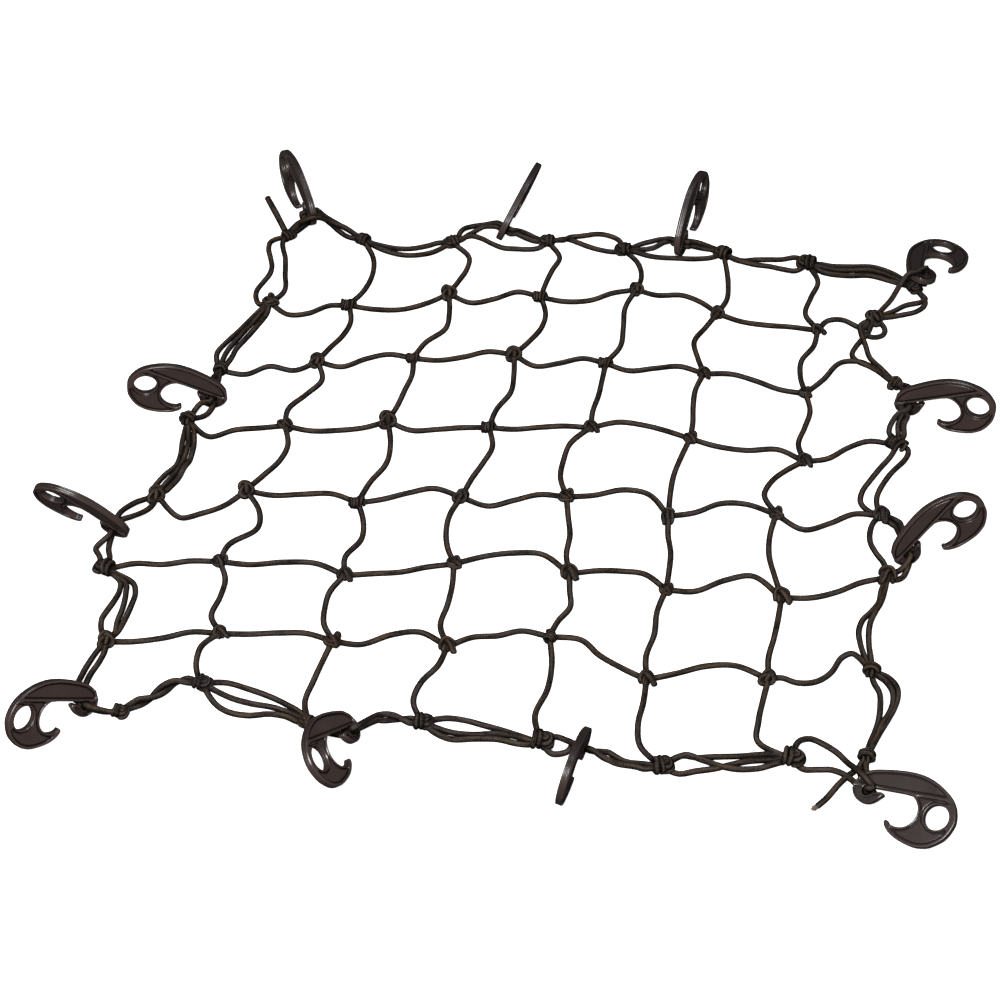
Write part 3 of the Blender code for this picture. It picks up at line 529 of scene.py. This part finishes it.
def cord_material(name, cord, lively=0.0):
    """Braided sheath: diamonds of yarn and long streaks that follow the cord, over stretches of other
    shades, with painted light on the side that faces up and towards the front, and painted shade on its
    other sides, in its hollows and where it meets its neighbours. The UV map's U is metres along the cord
    and V is turns round it. A lively sheath has more contrast."""
    graph = Graph(name)
    split = graph.node("SeparateXYZ", {}, {0: graph.node("TexCoord", {}, {}, 2)}).socket.node
    along, around = Wire(graph, split.outputs[0]), Wire(graph, split.outputs[1])
    pitch, bands = along * (1 / (2 * cord.lay)), around * float(cord.bands)
    one = graph.math("SINE", (bands + pitch) * math.tau)
    two = graph.math("SINE", (bands - pitch) * math.tau)
    braid = one * two * 0.5 + 0.5
    turn = around * math.tau
    ring = {1: graph.math("COSINE", turn) * 1.1, 2: graph.math("SINE", turn) * 1.1}
    wrapped = graph.node("CombineXYZ", {}, {0: along * 55, **ring})
    streak = graph.ramp(graph.noise(wrapped, 1.0), 0.36, 0.64)
    spot = graph.place()
    mottle = graph.ramp(graph.noise(spot, 420.0), 0.34, 0.66)
    shade = graph.ramp(graph.noise(spot, 22.0), 0.40, 0.60)
    yarn = graph.mix(shade, cord.light, cord.warm)
    lit = streak * (0.85 + lively) + braid * (0.30 + lively) + mottle * 0.40 - 0.18 - lively
    height = streak * 0.6 + braid * 0.6 + mottle * 0.3
    graph.shader.inputs["Specular IOR Level"].default_value = 0.12
    # Painted light: the side that faces up and towards the front is painted lighter, the other sides
    # darker.
    painted_top_light = graph.facing(SHEATH_PAINTED_LIGHT_SIDE, 0.35, 1.0)
    # Painted shade: darker in hollows and where cords meet their neighbours.
    painted_occlusion = graph.ramp(graph.painted_occlusion(0.0055), 0.5, 0.97)
    # The painted light and shade scale the pattern's brightness towards the dark yarn colour.
    painted_light_and_shade = (0.15 + painted_top_light * 0.88) * painted_occlusion * painted_occlusion
    return graph.finish(height, 1.0, SHEATH_RELIEF, Roughness=cord.rough,
                        Base_Color=graph.mix(lit * painted_light_and_shade, cord.dark, yarn))


def yarn_material(name, cord):
    """Bare yarn and rubber strands at a frayed end, paler than the sheath."""
    graph = Graph(name)
    patch = graph.ramp(graph.noise(graph.place(), 700.0), 0.35, 0.65)
    return graph.finish(Base_Color=graph.mix(patch, cord.light, cord.core), Roughness=cord.rough)


def toned(shade, share):
    return tuple(value * share for value in shade)


PARTING_LINE = 0.00018    # half the width of the mould's line
HOOK_RELIEF = 0.00012     # height of the unevenness and the ridges


def hook_material(hook):
    """Satin moulded plastic: fine grain, a little unevenness and the mould's parting line, with painted
    highlights on its rims, and painted shade in its hollows and on faces that look up.
    The "side" attribute is the distance from the hook's middle plane, in metres."""
    graph = Graph("hook_plastic")
    place = graph.place()
    side = graph.node("Attribute", {"attribute_name": "side"}, {}, 2)
    line = graph.math("LESS_THAN", graph.math("ABSOLUTE", side), PARTING_LINE)
    cloud = graph.noise(place, 45.0, 3.0)
    grain = graph.noise(place, 2200.0, 1.0)
    # Painted shade: darker in the grooves and hollows, where ambient occlusion falls.
    painted_occlusion = graph.ramp(graph.painted_occlusion(0.004), 0.35, 0.95)
    tone_and_painted_light = graph.mix(cloud, toned(hook.body, 0.8), toned(hook.body, 1.35))
    # Painted highlight: the rims are painted lighter than the plastic.
    painted_rim_highlight = graph.ramp(graph.math("ABSOLUTE", side), hook.panel / 2 + 0.0001, hook.thickness / 2)
    tone_and_painted_light = graph.mix(painted_rim_highlight, tone_and_painted_light, toned(hook.body, 1.3))
    # Painted shade: faces that look up are painted darker.
    tone_and_painted_light = graph.mix(graph.facing(UP, 0.55, 0.95), tone_and_painted_light, toned(hook.body, 0.35))
    # The painted shade in the hollows is mixed in here.
    shade = graph.mix(painted_occlusion, toned(hook.body, 0.10), tone_and_painted_light)
    ridges = graph.math("SINE", side * (math.tau / hook.ridge))
    height = grain * 0.25 + cloud * 0.8 + line * 1.4 + ridges * 2.2
    rough = hook.rough - 0.08 + cloud * 0.16
    return graph.finish(height, 0.5, HOOK_RELIEF, Base_Color=shade, Roughness=rough)


def floor_material(stage):
    """A pale floor that shines a little by itself, so that it stays even."""
    graph = Graph("studio_floor")
    tone = tuple(stage.floor)
    shade = graph.mix(graph.noise(graph.place(), 2.0), toned(tone, 0.99), tone)
    return graph.finish(Base_Color=shade, Roughness=0.9, Emission_Color=tone,
                        Emission_Strength=stage.glow / stage.floor[0])


# ---- cords
FINENESS = 12        # straight pieces that a span of a smooth curve is measured in
END_WIDTH = 0.25     # least share of its thickness that a cord's end has
SWELL = 0.02         # how much a cord's thickness changes, and how fast from ring to ring
SWELL_PACE = 0.31
KNOT_STEP = 0.45     # distance between the rings in a knot, over that of the free cords
LAY_STEP = 5.0       # distance between the points of a pair of cords
TWIST_STEPS = 12     # how many of them make one turn of a twisted pair
ROCK = 0.35          # how far an untwisted pair rocks from side to side, in radians,
ROCK_PACE = 0.7      # and how fast from point to point
SLACK = 0.75         # how much wider a loose pair stands half way along


def in_place(point):
    """A point of the tables, in metres round the net's middle."""
    return (Vector(point) - MIDDLE) * MM


def spline_point(points, u):
    """Point at u spans along a smooth curve through the given points."""
    last = len(points) - 1
    i = min(int(u), last - 1)
    t = u - i
    p1, p2 = points[i], points[i + 1]
    p0 = points[i - 1] if i > 0 else p1 + (p1 - p2)
    p3 = points[i + 2] if i + 2 <= last else p2 + (p2 - p1)
    reach = (p2 - p1).length
    ahead = (p2 - p0) * (reach / ((p2 - p1).length + (p1 - p0).length))
    behind = (p3 - p1) * (reach / ((p3 - p2).length + (p2 - p1).length))
    return (p1 * (2 * t**3 - 3 * t**2 + 1) + ahead * (t**3 - 2 * t**2 + t)
            + p2 * (3 * t**2 - 2 * t**3) + behind * (t**3 - t**2))


def even_route(points, step):
    """The smooth curve through the points, as points a step apart."""
    spans = len(points) - 1
    fine = [spline_point(points, k / FINENESS) for k in range(FINENESS * spans + 1)]
    lengths = [0.0]
    for a, b in zip(fine, fine[1:]):
        lengths.append(lengths[-1] + (b - a).length)
    count = max(3, round(lengths[-1] / step))
    route, i = [], 0
    for k in range(count + 1):
        goal = lengths[-1] * k / count
        while i < len(fine) - 2 and lengths[i + 1] < goal:
            i += 1
        span = lengths[i + 1] - lengths[i]
        route.append(fine[i].lerp(fine[i + 1], (goal - lengths[i]) / span if span else 0))
    return route


def path_length(route):
    return sum((b - a).length for a, b in zip(route, route[1:]))


def rounded_end(place, radius):
    """Share of its full radius that a tube has this far from its end, so that it ends round."""
    if place >= radius:
        return 1.0
    return max(END_WIDTH, math.sqrt(1 - (1 - place / radius) ** 2))


def cord_piece(name, runs, material, step, resolution=4, seed=1):
    """One mesh of tubes. A run is its points and its diameter, both in millimetres, and
    the sheath's pattern follows each tube through the UV map."""
    curve = bpy.data.curves.new(name, "CURVE")
    curve.dimensions, curve.twist_mode, curve.use_fill_caps = "3D", "MINIMUM", True
    curve.bevel_depth, curve.bevel_resolution = MM / 2, resolution
    luck = random.Random(seed)
    routes = []
    for points, diameter in runs:
        route = even_route([Vector(p) for p in points], step / MM)
        spans = len(route) - 1
        spline = curve.splines.new("POLY")
        spline.points.add(spans)
        phase = luck.uniform(0, math.tau)
        length = path_length(route)
        for k, (target, point) in enumerate(zip(spline.points, route)):
            point.z = max(point.z, diameter * FLOOR_SHARE)
            target.co = (*in_place(point), 1)
            end = min(k, spans - k) * length / spans
            swell = 1 + SWELL * math.sin(phase + k * SWELL_PACE)
            target.radius = diameter * rounded_end(end, diameter / 2) * swell
        routes.append((spans, length * MM))
    piece = piece_from_curve(name, curve, material)
    layer = piece.data.uv_layers[0].data
    sides = 4 + 2 * resolution
    walls = (p for p in piece.data.polygons if len(p.vertices) == 4)
    for spans, length in routes:
        start = luck.uniform(0, 3)
        for _ in range(spans * sides):
            for loop in next(walls).loop_indices:
                layer[loop].uv.x = start + layer[loop].uv.x * length
    close_seams(piece.data)
    return piece


def close_seams(mesh):
    """Joins the caps to the walls and turns every face outwards."""
    shell = bmesh.new()
    shell.from_mesh(mesh)
    bmesh.ops.remove_doubles(shell, verts=shell.verts, dist=1e-6)
    bmesh.ops.recalc_face_normals(shell, faces=shell.faces)
    shell.to_mesh(mesh)
    shell.free()


def piece_from_curve(name, curve, material):
    """The curve's tubes or plates as a smooth shaded mesh."""
    holder = bpy.data.objects.new(name, curve)
    bpy.context.scene.collection.objects.link(holder)
    seen = bpy.context.evaluated_depsgraph_get()
    mesh = bpy.data.meshes.new_from_object(holder.evaluated_get(seen))
    bpy.data.objects.remove(holder)
    mesh.name = name
    mesh.materials.clear()
    mesh.materials.append(material)
    for polygon in mesh.polygons:
        polygon.use_smooth = True
    piece = bpy.data.objects.new(name, mesh)
    bpy.context.scene.collection.objects.link(piece)
    return piece


def mount(piece, slot, *nodes):
    """The piece rides on the net and stands for the CAD nodes. The slot is not used."""
    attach(piece, "root")
    if nodes:
        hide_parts(*nodes)


def single_cord(start, end, sway, lift):
    """Points of a cord between two knots, off their straight line by the sway."""
    height = bpy.context.scene.net_cord.diameter / MM / 2
    a, b = (Vector((*KNOTS[row][column], KNOT_ENTRY + lift)) for row, column in (start, end))
    run = (b - a).normalized()
    side = Vector((-run.y, run.x, 0))
    middle = []
    for k, offset in enumerate(sway, 1):
        point = a.lerp(b, k / (len(sway) + 1)) + side * offset
        point.z = height
        middle.append(point)
    return [a, *middle, b]


def knot_runs(row, column, tie, turn, scale):
    """A knot's runs of cord, turned into place and a little uneven."""
    spin = Matrix.Rotation(math.radians(turn), 3, "Z")
    centre = Vector((*KNOTS[row][column], 0))
    luck = random.Random(10 * row + column)
    diameter, ways = TIES[tie]
    grown = abs(scale)
    diameter *= (1 + grown) / 2    # the cord grows half as much as the knot
    runs = []
    for points in ways:
        placed = []
        for x, y, z in points:
            x, y, z = (value + luck.uniform(-UNEVEN, UNEVEN) for value in (x, y, z))
            point = spin @ Vector((x * scale, y * grown, 0))
            placed.append(centre + point + Vector((0, 0, z * grown)))
        runs.append((placed, diameter))
    return runs


def add_knots(name, kind, cord, ties, seed):
    """The knots as one piece. Its sheath is livelier than that of the free cords."""
    runs = [run for tie in ties for run in knot_runs(*tie)]
    sheath = cord_material(name, cord, lively=0.25)
    mount(cord_piece(kind, runs, sheath, cord.step * KNOT_STEP, 3, seed), "cord")


def hook_places():
    """Each hook's place, as the matrix that moves the pattern there."""
    places = {}
    for name, eye, angles in HOOKS:
        place = Matrix.Translation(eye)
        for angle, axis, sense in zip(angles, "ZYX", (1, -1, 1)):
            place = place @ Matrix.Rotation(math.radians(sense * angle), 4, axis)
        places[name] = place
    return places


def clip_points(place, towards, number):
    """Points that take a cord from a hook's clip towards the given point, through its own
    half of the clip's seat."""
    turn = place.to_3x3()
    across = turn @ UP
    angle = math.pi * number + SEAT_TURN
    share = turn @ Vector((math.cos(angle), math.sin(angle), 0)) * SEAT_SHARE
    seat = place @ Vector((*CLIP_SEAT[0], 0))
    near, far = CLIP_LEAD
    if (towards - seat).dot(across) <= 0:
        near, far = -near, -far
    return [seat + share, seat + share + across * near, seat + share * LEAD_SPREAD + across * far]


def climb(points, clip):
    """Lifts the points near a clip, so that the cord rises to it evenly, a little forward as it
    rises."""
    foot = Vector((clip.x, clip.y + clip.z * CLIMB_LEAN))
    for point in points:
        share = 1 - (point.xy - foot).length / CLIMB
        if share > 0:
            rise = max(0.0, clip.z - point.z) * share
            point.z += rise
            point.y -= rise * CLIMB_LEAN


def bunch_runs():
    """The gathered cord that fills each clip's seat."""
    runs = []
    for place in hook_places().values():
        across = place.to_3x3() @ UP
        for middle, half, diameter in CLIP_BUNCHES:
            seat = place @ Vector((*middle, 0))
            runs.append(([seat - across * half, seat, seat + across * half], diameter))
    return runs


def lay_cords(points, lay, radius):
    """One cord along the points, or two: side by side, with a slack gap or twisted."""
    if lay == "one":
        return [points]
    if len(points) == 1:
        beside = Vector((radius, 0, 0))
        return [[points[0] + beside], [points[0] - beside]]
    route = even_route(points, LAY_STEP)
    spans = len(route) - 1
    runs = [[], []]
    for k, point in enumerate(route):
        run = (route[min(k + 1, spans)] - route[max(k - 1, 0)]).normalized()
        side = Vector((-run.y, run.x, 0)).normalized()
        turn = math.tau * k / TWIST_STEPS if lay == "twist" else ROCK * math.sin(k * ROCK_PACE)
        apart = SLACK * math.sin(math.pi * k / spans) if lay == "loose" else 0.0
        shift = side * math.cos(turn) * radius * (1 + apart) + UP * math.sin(turn) * radius
        hump = UP * (radius if lay == "twist" else abs(math.sin(turn)) * radius)
        runs[0].append(point + shift + hump)
        runs[1].append(point - shift + hump)
    return runs


def border_runs(cord):
    """Every cord of the border, as points and diameters."""
    thick = cord.diameter / MM
    places = hook_places()
    seats = {}
    runs = bunch_runs()
    for start, via, end, *style in BORDER:
        lay, lift = style or ("one", 0)
        middle = [Vector(place if len(place) == 3 else (*place, thick / 2 + lift)) for place in via]
        for strand in lay_cords(middle, lay, thick / 2):
            points = list(strand)
            for which, mark in ((0, start), (-1, end)):
                if isinstance(mark, str):
                    number = seats.get((mark, which), 0)
                    seats[mark, which] = number + 1
                    lead = clip_points(places[mark], strand[which], number)
                    if strand[which].z < thick:
                        climb(points, lead[-1])
                else:
                    lead = [Vector((*KNOTS[mark[0]][mark[1]], BORDER_ENTRY))]
                points = lead + points if which == 0 else points + lead[::-1]
            runs.append((points, thick))
    return runs


# ---- operators
class NET_OT_cords(bpy.types.Operator):
    """Single cords of the meshes, with their inner knots"""
    bl_idname = "cargo_net.cords"
    bl_label = "Meshes"

    def execute(self, context):
        cord = context.scene.net_cord
        sheath = cord_material("cord_sheath", cord)
        cords = [single_cord((row, column), (row, column + 1), sway, 0.0)
                 for row, sways in ROW_SWAY.items() for column, sway in enumerate(sways)]
        cords += [single_cord((row, column), (row + 1, column), sway, COLUMN_LIFT)
                  for column, sways in COLUMN_SWAY.items() for row, sway in enumerate(sways)]
        runs = [(points, cord.diameter / MM) for points in cords]
        mount(cord_piece("mesh_cords", runs, sheath, cord.step, seed=3), "cord", "mesh")
        ties = [(row, column, *style)
                for row, styles in INNER_TIES.items() for column, style in enumerate(styles, 1)]
        add_knots("mesh_knot_sheath", "mesh_knots", cord, ties, 5)
        return {"FINISHED"}


class NET_OT_border(bpy.types.Operator):
    """Doubled border cords and their knots"""
    bl_idname = "cargo_net.border"
    bl_label = "Border"

    def execute(self, context):
        cord = context.scene.net_cord
        sheath = cord_material("border_sheath", cord)
        cords = cord_piece("border_cords", border_runs(cord), sheath, cord.step, seed=7)
        mount(cords, "cord", "border")
        ties = [(*knot, *style) for knot, style in BORDER_TIES.items()]
        add_knots("border_knot_sheath", "border_knots", cord, ties, 9)
        return {"FINISHED"}


class NET_OT_tails(bpy.types.Operator):
    """The border cord's two free ends"""
    bl_idname = "cargo_net.tails"
    bl_label = "Free ends"

    def execute(self, context):
        cord = context.scene.net_cord
        sheath = cord_material("tail_sheath", cord)
        frays = yarn_material("frayed_yarn", cord)
        for name, via, swell, finish in TAILS:
            thick = cord.diameter / MM * swell
            points = [Vector((x, y, thick / 2)) for x, y in via]
            tail = cord_piece(name, [(points, thick)], sheath, cord.step, seed=11)
            if finish == "frayed":
                extra = self.fray(name, points, frays)
            else:
                extra = self.seal(name, points, sheath, thick)
            mount(tail, "cord")
            route = [in_place(p) for p in even_route(points, TAIL_STEP)]
            path_length(route)
        return {"FINISHED"}

    def fray(self, name, points, material):
        """Loose yarns that fan out of a cut end."""
        luck = random.Random(4)
        tip, run = points[-1], (points[-1] - points[-2]).normalized()
        side = Vector((-run.y, run.x, 0))
        yarns = []
        for _ in range(YARNS):
            spread, rise = luck.uniform(-1, 1), luck.uniform(-1, 1)
            width, height = YARN_ROOT
            root = tip - run * width + side * spread * width + UP * (rise * height)
            width, height = YARN_FAN
            end = (tip + run * luck.uniform(*YARN_REACH) + side * spread * width
                   + UP * max(rise * height, YARN_DROP))
            middle = root.lerp(end, 0.5) + side * luck.uniform(-0.6, 0.6)
            yarns.append(([root, middle, end], luck.uniform(*YARN_WIDTH)))
        piece = cord_piece(name + "_yarns", yarns, material, 0.0008, 1, seed=13)
        mount(piece, "cord")
        return piece

    def seal(self, name, points, material, thick):
        """A melted bead that closes a cut end."""
        tip, run = points[-1], (points[-1] - points[-2]).normalized()
        points = [tip + run * along for along in BEAD_RUN]
        piece = cord_piece(name + "_bead", [(points, thick * BEAD)], material, 0.0005, 3, seed=15)
        mount(piece, "cord")
        return piece


OUTLINE_STEP = 1.6         # millimetres between the points of its back
WEB_ROUNDING = 0.0002
WEB_INSET = 0.0009         # how far the web's edge lies inside the rims
PANEL_ROUNDING = 0.0009
FLAT = 0.995               # a face this level is flat, and any other is shaded smooth


def arc(circle, start, end, count):
    """Points on a circle, from one angle to another, in degrees."""
    (x, y), radius = circle
    angles = [math.radians(start + (end - start) * k / (count - 1)) for k in range(count)]
    return [(x + radius * math.cos(a), y + radius * math.sin(a)) for a in angles]


def hook_outline():
    """The hook's edge: its back, the throat, the shank's lower edge and the clip."""
    back = [(p.x, p.y) for p in even_route([Vector((*p, 0)) for p in HOOK_BACK], OUTLINE_STEP)]
    return (back + arc(THROAT, -122, 66, 34) + list(SHANK_EDGE) + arc(CLIP_SEAT, 47, 335, 22)
            + list(CLIP_TIP) + arc(CLIP_BACK, -42, -192, 22))


def wound(outline):
    """The outline, wound anticlockwise, so that an offset goes the same way on every pocket."""
    turns = zip(outline, outline[1:] + outline[:1])
    area = sum(ax * by - bx * ay for (ax, ay), (bx, by) in turns)
    return outline if area >= 0 else outline[::-1]


def flat_curve(name, outlines, half, rounding, offset):
    """A plate cut to the outlines, with rounded edges."""
    curve = bpy.data.curves.new(name, "CURVE")
    curve.dimensions, curve.fill_mode = "2D", "BOTH"
    curve.extrude, curve.bevel_depth, curve.bevel_resolution = half - rounding, rounding, 3
    curve.offset = offset
    for outline in outlines:
        spline = curve.splines.new("POLY")
        spline.points.add(len(outline) - 1)
        for target, (x, y) in zip(spline.points, outline):
            target.co = (x * MM, y * MM, 0, 1)
        spline.use_cyclic_u = True
    return curve


class NET_OT_hooks(bpy.types.Operator):
    """Moulded hooks: rims round sunk panels, an eye, a throat and a clip for the cord"""
    bl_idname = "cargo_net.hooks"
    bl_label = "Hooks"

    def execute(self, context):
        hook = context.scene.net_hook
        plastic = hook_material(hook)
        pattern = self.pattern(hook, plastic)
        for name, place in hook_places().items():
            mesh = pattern.copy()
            mesh.name = f"hook_{name}_moulding"
            eye = Matrix.Translation(in_place(place.to_translation()))
            mesh.transform(eye @ place.to_3x3().to_4x4())
            piece = bpy.data.objects.new(mesh.name, mesh)
            context.scene.collection.objects.link(piece)
            mount(piece, "hook", "hook_" + name)
        return {"FINISHED"}

    def pattern(self, hook, plastic):
        """The hook in its own plane, the middle of its eye at the origin."""
        eye = arc(EYE, 0, 350, 36)
        edge = [hook_outline(), eye]
        pockets = [wound(outline) for outline in (PANEL_POCKET, WEB_POCKET, CLIP_POCKET)]
        round_rim, round_panel = hook.rounding, PANEL_ROUNDING
        plates = [flat_curve("rims", edge + pockets, hook.thickness / 2, round_rim, -round_rim),
                  flat_curve("web", edge, hook.web / 2, WEB_ROUNDING, -WEB_INSET)]
        for pocket in pockets[:-1]:    # the clip stays hollow
            plates.append(flat_curve("panel", [pocket], hook.panel / 2, round_panel,
                                     -hook.groove - round_panel))
        shells = [piece_from_curve("hook_shell", plate, plastic) for plate in plates]
        bpy.ops.object.select_all(action="DESELECT")
        for shell in shells:
            shell.select_set(True)
        bpy.context.view_layer.objects.active = shells[0]
        bpy.ops.object.join()
        mesh = shells[0].data.copy()
        bpy.data.objects.remove(shells[0])
        close_seams(mesh)
        side = mesh.attributes.new("side", "FLOAT", "POINT")
        for vertex, value in zip(mesh.vertices, side.data):
            value.value = vertex.co.z
        for polygon in mesh.polygons:
            polygon.use_smooth = abs(polygon.normal.z) < FLAT
        return mesh


# Lamps: place, width and share of the key light's power.
LAMPS = {
    "key_light": ((-0.2, -1.9, 2.3), 1.0, 1.0),
    "top_light": ((0.3, 0.5, 2.6), 0.9, 0.15),
}
SKY_STOPS = ((0.0, 0.25), (0.75, 1.0))         # height in the sky and its brightness there
CAMERA_PLACE = (227.09, -2073.24, 1867.40)     # in the tables' millimetres
CAMERA_TILT, CAMERA_TURN = 47.605, 7.129       # in degrees


class NET_OT_stage(bpy.types.Operator):
    """Pale floor, soft light and the camera"""
    bl_idname = "cargo_net.stage"
    bl_label = "Stage"

    def execute(self, context):
        stage = context.scene.net_stage
        context.scene.view_settings.view_transform = "Standard"
        self.floor(context, stage)
        self.lights(context, stage)
        self.camera(context, stage)
        return {"FINISHED"}

    def floor(self, context, stage):
        bpy.ops.mesh.primitive_grid_add(x_subdivisions=4, y_subdivisions=4, size=30)
        floor = context.object
        floor.name = "floor"
        floor.data.materials.append(floor_material(stage))
        floor.visible_glossy = floor.visible_diffuse = False

    def lights(self, context, stage):
        world = bpy.data.worlds.new("soft_sky")
        context.scene.world = world
        world.use_nodes = True
        nodes, links = world.node_tree.nodes, world.node_tree.links
        sky = nodes["Background"]
        way, split, ramp = (nodes.new("ShaderNode" + kind)
                            for kind in ("TexCoord", "SeparateXYZ", "ValToRGB"))
        for element, (height, tone) in zip(ramp.color_ramp.elements, SKY_STOPS):
            element.position, element.color = height, (tone, tone, tone, 1)
        links.new(way.outputs["Generated"], split.inputs[0])
        links.new(split.outputs["Z"], ramp.inputs[0])
        links.new(ramp.outputs[0], sky.inputs["Color"])
        sky.inputs["Strength"].default_value = stage.sky
        for name, (place, width, share) in LAMPS.items():
            lamp = bpy.data.lights.new(name, "AREA")
            lamp.size, lamp.energy = width, stage.key * share
            light = bpy.data.objects.new(name, lamp)
            light.location = place
            light.rotation_euler = (-Vector(place)).to_track_quat("-Z", "Y").to_euler()
            context.scene.collection.objects.link(light)

    def camera(self, context, stage):
        lens = bpy.data.cameras.new("camera")
        lens.lens = stage.lens
        lens.clip_start, lens.clip_end = 0.05, 60
        camera = bpy.data.objects.new("camera", lens)
        camera.location = in_place(CAMERA_PLACE)
        camera.rotation_euler = (math.radians(CAMERA_TILT), 0, math.radians(CAMERA_TURN))
        context.scene.collection.objects.link(camera)
        context.scene.camera = camera


class NET_PT_panel(bpy.types.Panel):
    """The net's parts, in the order in which they are made"""
    bl_idname = "NET_PT_panel"
    bl_label = "Cargo Net"
    bl_space_type = "VIEW_3D"
    bl_region_type = "UI"
    bl_category = "Cargo Net"

    def draw(self, context):
        for group in (context.scene.net_cord, context.scene.net_hook, context.scene.net_stage):
            box = self.layout.box()
            for key in group.__annotations__:
                box.prop(group, key)
        for operator in PIECES:
            self.layout.operator(operator.bl_idname)


GROUPS = (("net_cord", CordSettings), ("net_hook", HookSettings), ("net_stage", StageSettings))
PIECES = (NET_OT_stage, NET_OT_tails, NET_OT_cords, NET_OT_border, NET_OT_hooks)


def register():
    for name, group in GROUPS:
        bpy.utils.register_class(group)
        setattr(bpy.types.Scene, name, PointerProperty(type=group))
    for item in (*PIECES, NET_PT_panel):
        bpy.utils.register_class(item)


def unregister():
    for item in (NET_PT_panel, *reversed(PIECES)):
        bpy.utils.unregister_class(item)
    for name, group in reversed(GROUPS):
        delattr(bpy.types.Scene, name)
        bpy.utils.unregister_class(group)


def main():
    register()
    bpy.ops.cargo_net.stage()
    bpy.ops.cargo_net.tails()
    bpy.ops.cargo_net.cords()
    bpy.ops.cargo_net.border()
    bpy.ops.cargo_net.hooks()
    bpy.context.view_layer.update()


if __name__ == "__main__":
    main()
